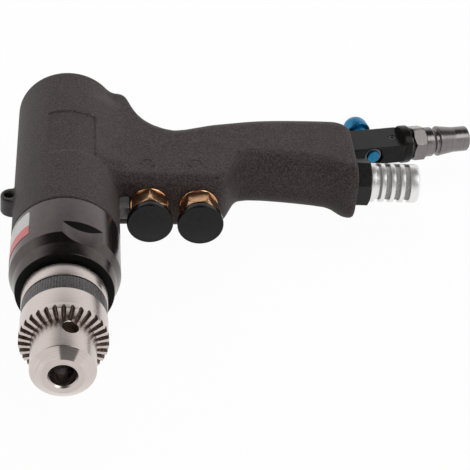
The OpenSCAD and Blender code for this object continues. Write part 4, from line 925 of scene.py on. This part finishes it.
def button(name, x, body, node):
    """A domed cap with a rounded rim."""
    front, edge_r, rise, rows = 103.7, 9.0, 0.9, 10
    dome_r = (edge_r ** 2 + rise ** 2) / (2 * rise)
    radii = [edge_r * k / rows for k in range(rows + 1)]
    dome = [(r, dome_r - math.sqrt(dome_r ** 2 - r ** 2)) for r in radii]
    cap = lathe(name, dome + [(10.5, rise, 1.5), (10.5, 4.1, 0.35), (2.5, 4.1), (2.5, 1.1), (0, 1.1)],
                along_spindle(x, front), steps=8)
    dress(shade(cap, 40), button_satin, body, "button_black", node)


button("forward_cap", FORWARD_X, "forward_body", "forward_button")
button("reverse_cap", REVERSE_X, "reverse_body", "reverse_button")


def valve_spring(name, x, node):
    """A wound return spring."""
    length, coil_r, wire_r, turns, travel = 17.0, 3.4, 0.5, 6, 3.8
    steps, sides = 40 * turns, 12
    verts = []
    for k in range(steps + 1):
        a = math.tau * turns * k / steps
        middle = wire_r + (length - 2 * wire_r) * k / steps
        for i in range(sides):
            b = math.tau * i / sides
            r = coil_r + wire_r * math.cos(b)
            verts.append((r * math.cos(a), r * math.sin(a), middle + wire_r * math.sin(b)))
    faces = ring_quads(steps + 1, sides)[:-sides]
    faces += [tuple(range(sides)), tuple(range(steps * sides, (steps + 1) * sides))]
    coil = mesh_object(name, verts, faces, along_spindle(x, SPRING_END - length))
    dress(shade(coil, 60), spring_wire, HOUSING, "spring_steel", node)
    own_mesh(coil)


valve_spring("forward_coil", FORWARD_X, "forward_spring")
valve_spring("reverse_coil", REVERSE_X, "reverse_spring")


# Air inlet with its nipple and regulator

half_t, half_w = BLOCK_T / 2, BLOCK_W / 2
block_outline = rounded([(half_t, -half_w, 0.7), (half_t, half_w, 0.7), (-half_t, half_w, 0.6),
                         (-half_t, -half_w, 0.6)], 3)
block = prism("inlet_body", block_outline, -BLOCK_IN, BLOCK_L, INLET)
soften(block, 0.35, 2, 60)
collar = lathe("inlet_collar", [(0, 28.1), (8.8, 28.1), (9.3, 28.8, 0.3), (9.3, COLLAR_END, 0.7),
                                (0, COLLAR_END)], INLET)
combine(block, [collar], "UNION")
through = rod("spool_tool", 3.26, -12.0, 12.0, along_regulator())
recess = lathe("recess_tool", [(0, -12), (5.2, -12), (5.2, -8.5), (4.9, -8.2), (4.9, -6.95), (0, -6.95)],
               along_regulator())
screw_line = along_inlet(24.0) @ Matrix.Rotation(math.radians(-90), 4, "Y")
screw_hole = lathe("screw_tool", [(0, 3.1), (1.5, 3.1), (1.5, 4.6), (1.85, 4.95), (1.85, 7), (0, 7)],
                   screw_line, TOOL_SEGMENTS)
air_bore = rod("air_tool", 3.0, -16.0, 28.5, INLET)
thread_bore = rod("thread_tool", 4.4, 26.1, 34.0, INLET)
combine(block, [through, recess, screw_hole, air_bore, thread_bore])
dress(shade_flats(block, 30), gloss_black, HOUSING, "inlet_black", "inlet_block")

nipple = lathe("hose_tail", [
    (3.5, -5.6), (4.4, -5.6), (4.4, 0), (6.5, 0, 0.2), (6.5, 1.6), (5.0, 1.6), (5.0, 8.1), (7.1, 8.2),
    (7.35, 8.5, 0.15), (7.35, 12.3, 0.5), (6.2, 14.1, 0.5), (6.2, 15.8, 0.2), (7.5, 15.8, 0.4),
    (7.35, 16.9, 0.6), (6.25, 24.6, 9.0), (6.25, 32.1, 1.0), (4.2, 32.1, 0.4), (3.5, 31.3)],
    along_inlet(COLLAR_END))
tail_hex = nut("tail_hex", flats=15.8, length=6.6, bore=4.0, place=along_inlet(34.1), turn=5.0)
combine(nipple, [tail_hex], "UNION")
dress(shade(nipple, 24), burnished, HOUSING, "nipple_dark", "hose_nipple")

KNOB_R, KNOB_SHOULDER, KNOB_RISE = 6.3, 16.85, 6.2
knob_dome = [(KNOB_R * math.cos(math.radians(a)), KNOB_SHOULDER + KNOB_RISE * math.sin(math.radians(a)))
             for a in range(0, 90, 9)]
spool = lathe("regulator_pin", [(0, -9.05), (3.2, -9.05, 0.6), (3.2, 9.15), (4.4, 9.15, 0.2), (4.4, 12.35),
                                (KNOB_R, 12.35, 0.7)] + knob_dome + [(0, KNOB_SHOULDER + KNOB_RISE)],
              along_regulator())
dress(shade(spool, 30), anodised_blue, "regulator_body", "regulator_blue", "regulator_spool")


# Muffler with its adapter and felt

adapter_place = along_handle(HANDLE_L, MUFFLER_Y)
muffler_place = along_handle(ADAPTER_END, MUFFLER_Y)
adapter = nut("muffler_hex", flats=20.5, length=7.6, bore=EXHAUST_R, place=adapter_place, turn=6.0)
spigot = lathe("spigot", [(EXHAUST_R, -THREAD_L), (THREAD_R, -THREAD_L), (THREAD_R, 0.2), (7.2, 0.2),
                          (7.2, 7.4), (CAN_BORE, 7.4), (CAN_BORE, 11.6), (EXHAUST_R, 11.6)], adapter_place)
combine(adapter, [spigot], "UNION")
dress(shade_flats(adapter, 22), adapter_black, HOUSING, "adapter_black", "muffler_adapter")
second_look(adapter, aluminium, lambda at, normal: at.x > ADAPTER_END + 0.05)

SLOTS, SLOT_W, SLOT_PAST, SLOT_CLEAR = 4, 2.7, 4.5, 12.0
FIRST_RIM, LAST_RIM = 4.6, 2.4
can = lathe("muffler_can", [(CAN_BORE, 0), (CAN_R, 0, 0.25), (CAN_R, CAN_L, 1.8), (0, CAN_L),
                            (0, CAN_DEEP), (CAN_BORE, CAN_DEEP)], muffler_place, FINE_SEGMENTS, 8)
pitch = (CAN_L - FIRST_RIM - LAST_RIM - SLOT_W) / (SLOTS - 1)
slots = [slab("slot_tool", (-SLOT_CLEAR, -SLOT_CLEAR, CAN_L - FIRST_RIM - SLOT_W - k * pitch),
              (SLOT_CLEAR, SLOT_PAST, CAN_L - FIRST_RIM - k * pitch), muffler_place) for k in range(SLOTS)]
combine(can, slots)
soften(can, 0.4, 3, 40)
dress(shade(can, 30), aluminium, HOUSING, "muffler_aluminium", "muffler")

FELT_R, FELT_BORE, FELT_FRONT, FELT_ROWS, FELT_SKIN, FELT_RELIEF = 8.0, 5.65, 4.0, 60, 7.4, 0.45
FELT_SEED = 7
felt_step = (CAN_DEEP - FELT_FRONT) / FELT_ROWS
fuzz = lathe("silencer_fleece", [(FELT_BORE, FELT_FRONT)]
             + [(FELT_R, FELT_FRONT + felt_step * k) for k in range(FELT_ROWS + 1)]
             + [(FELT_BORE, CAN_DEEP - felt_step * k) for k in range(FELT_ROWS)], muffler_place, 120)
rng = np.random.default_rng(FELT_SEED)
for vert in fuzz.data.vertices:
    out = Vector((0, vert.co.y - MUFFLER_Y * MM, vert.co.z))
    if out.length > FELT_SKIN * MM:
        out.normalize()
        vert.co -= out * float(rng.uniform(0, FELT_RELIEF)) * MM
dress(shade(fuzz, 60), felt, HOUSING, "felt_grey", "silencer_felt")


# Stage, light and camera

UP = Vector((-0.0732, 0.0, 0.9973)).normalized()
FLOOR_DROP = 24.5
FLOOR_HALF = 3.0
FLOOR_GREY = 0.86
SHADOW_SHARE = 0.035
TARGET = Vector((0.085, 0.1, 0))
FOCAL_PIXELS, PHOTO_PIXELS, SENSOR = 1600.0, 470.0, 36.0
CAMERA_AT = Vector((-3.65887, -479.01487, 422.27088)) * MM
RIGHT = Vector((0.99350946, -0.07199827, 0.08806359))
DOWN = Vector((0.02839137, -0.59272862, -0.80490168))
AHEAD = Vector((0.11014933, 0.80217768, -0.58683736))


def floor_material():
    """A pale floor that is white to the camera and in reflections, and keeps a soft shadow."""
    material = bpy.data.materials.new("stage_floor")
    material.use_nodes = True
    tree = material.node_tree
    tree.nodes.clear()
    make, link = tree.nodes.new, tree.links.new
    lit = make("ShaderNodeBsdfDiffuse")
    lit.inputs["Color"].default_value = (FLOOR_GREY, FLOOR_GREY, FLOOR_GREY, 1)
    glow = make("ShaderNodeEmission")
    glow.inputs["Color"].default_value = (1, 1, 1, 1)
    bright = make("ShaderNodeMixShader")
    bright.inputs["Fac"].default_value = SHADOW_SHARE
    link(glow.outputs[0], bright.inputs[1])
    link(lit.outputs[0], bright.inputs[2])
    path = make("ShaderNodeLightPath")
    seen = path.outputs["Is Camera Ray"]
    for ray in ("Is Glossy Ray", "Is Transmission Ray"):
        either = make("ShaderNodeMath")
        either.operation = "MAXIMUM"
        link(seen, either.inputs[0])
        link(path.outputs[ray], either.inputs[1])
        seen = either.outputs[0]
    mix = make("ShaderNodeMixShader")
    link(seen, mix.inputs["Fac"])
    link(lit.outputs[0], mix.inputs[1])
    link(bright.outputs[0], mix.inputs[2])
    link(mix.outputs[0], make("ShaderNodeOutputMaterial").inputs["Surface"])
    return material


side = UP.cross(Vector((0, 1, 0))).normalized()
along = UP.cross(side).normalized()
centre = TARGET - UP * (FLOOR_DROP * MM + UP.dot(TARGET))
corners = [centre + (side * a + along * b) * FLOOR_HALF for a, b in ((-1, -1), (1, -1), (1, 1), (-1, 1))]
ground = bpy.data.meshes.new("stage_floor")
ground.from_pydata([tuple(c) for c in corners], [], [(0, 1, 2, 3)])
ground.materials.append(floor_material())
floor = linked("stage_floor", ground)

world = bpy.data.worlds.new("studio")
bpy.context.scene.world = world
world.use_nodes = True
tree = world.node_tree
tree.nodes.clear()
make, link = tree.nodes.new, tree.links.new


def remap(value, low, high, to_low, to_high):
    """A smooth change of one number into another in the world's nodes."""
    node = make("ShaderNodeMapRange")
    node.interpolation_type = "SMOOTHSTEP"
    for socket, number in zip(("From Min", "From Max", "To Min", "To Max"), (low, high, to_low, to_high)):
        node.inputs[socket].default_value = number
    link(value, node.inputs["Value"])
    return node.outputs["Result"]


def backdrop(strength=None):
    """A white backdrop, as bright as a node's output says or else plain white."""
    node = make("ShaderNodeBackground")
    node.inputs["Color"].default_value = (1, 1, 1, 1)
    if strength is not None:
        link(strength, node.inputs["Strength"])
    return node.outputs[0]


def sum_of(operation, first, second):
    """The result of a sum or product of two outputs in the world's nodes."""
    node = make("ShaderNodeMath")
    node.operation = operation
    link(first, node.inputs[0])
    link(second, node.inputs[1])
    return node.outputs[0]


def spot(direction, low, high, to_low, to_high):
    """A change of brightness within a cone round one direction of the world."""
    node = make("ShaderNodeVectorMath")
    node.operation = "DOT_PRODUCT"
    link(toward, node.inputs[0])
    node.inputs[1].default_value = direction.normalized()
    return remap(node.outputs["Value"], low, high, to_low, to_high)


# A white tent stands round the table, open and dark overhead and at the camera, with a soft light in it on
# the right
CAMERA_SIDE = Vector((0.21, -0.78, 0.545))
RIGHT_SIDE = Vector((0.50, -0.35, 0.79))
out = make("ShaderNodeOutputWorld")
split = make("ShaderNodeSeparateXYZ")
toward = make("ShaderNodeTexCoord").outputs["Generated"]
link(toward, split.inputs[0])
tent = remap(split.outputs["Z"], 0.46, 0.84, 1.0, 0.05)
tent = sum_of("MULTIPLY", tent, remap(split.outputs["Y"], -0.9, 0.5, 0.9, 1.05))
tent = sum_of("MULTIPLY", tent, spot(CAMERA_SIDE, 0.912, 0.938, 1.0, 0.22))
tent = sum_of("ADD", tent, spot(RIGHT_SIDE, 0.93, 0.985, 0.0, 2.4))
path = make("ShaderNodeLightPath")
seen = make("ShaderNodeMixShader")
link(path.outputs["Is Camera Ray"], seen.inputs["Fac"])
link(backdrop(tent), seen.inputs[1])
link(backdrop(), seen.inputs[2])
link(seen.outputs[0], out.inputs["Surface"])


# A soft lamp faces the drill from behind and gives the floor's shadow
LAMP_AT = Vector((0.085, 0.85, 0.62))
glow = bpy.data.lights.new("back_lamp", "AREA")
glow.shape = "RECTANGLE"
glow.size, glow.size_y = 0.9, 0.6
glow.energy = 4.0
lamp = linked("back_lamp", glow)
lamp.location = LAMP_AT
lamp.rotation_euler = (TARGET - LAMP_AT).to_track_quat("-Z", "Y").to_euler()
lamp.visible_camera = False
lamp.visible_glossy = False

lens = bpy.data.cameras.new("photo_camera")
lens.sensor_width = SENSOR
lens.lens = FOCAL_PIXELS / PHOTO_PIXELS * SENSOR
lens.clip_start = 0.01
camera = linked("photo_camera", lens)
camera.matrix_world = Matrix((
    (RIGHT.x, -DOWN.x, -AHEAD.x, CAMERA_AT.x), (RIGHT.y, -DOWN.y, -AHEAD.y, CAMERA_AT.y),
    (RIGHT.z, -DOWN.z, -AHEAD.z, CAMERA_AT.z), (0, 0, 0, 1)))
bpy.context.scene.camera = camera
bpy.context.scene.view_settings.view_transform = "Standard"
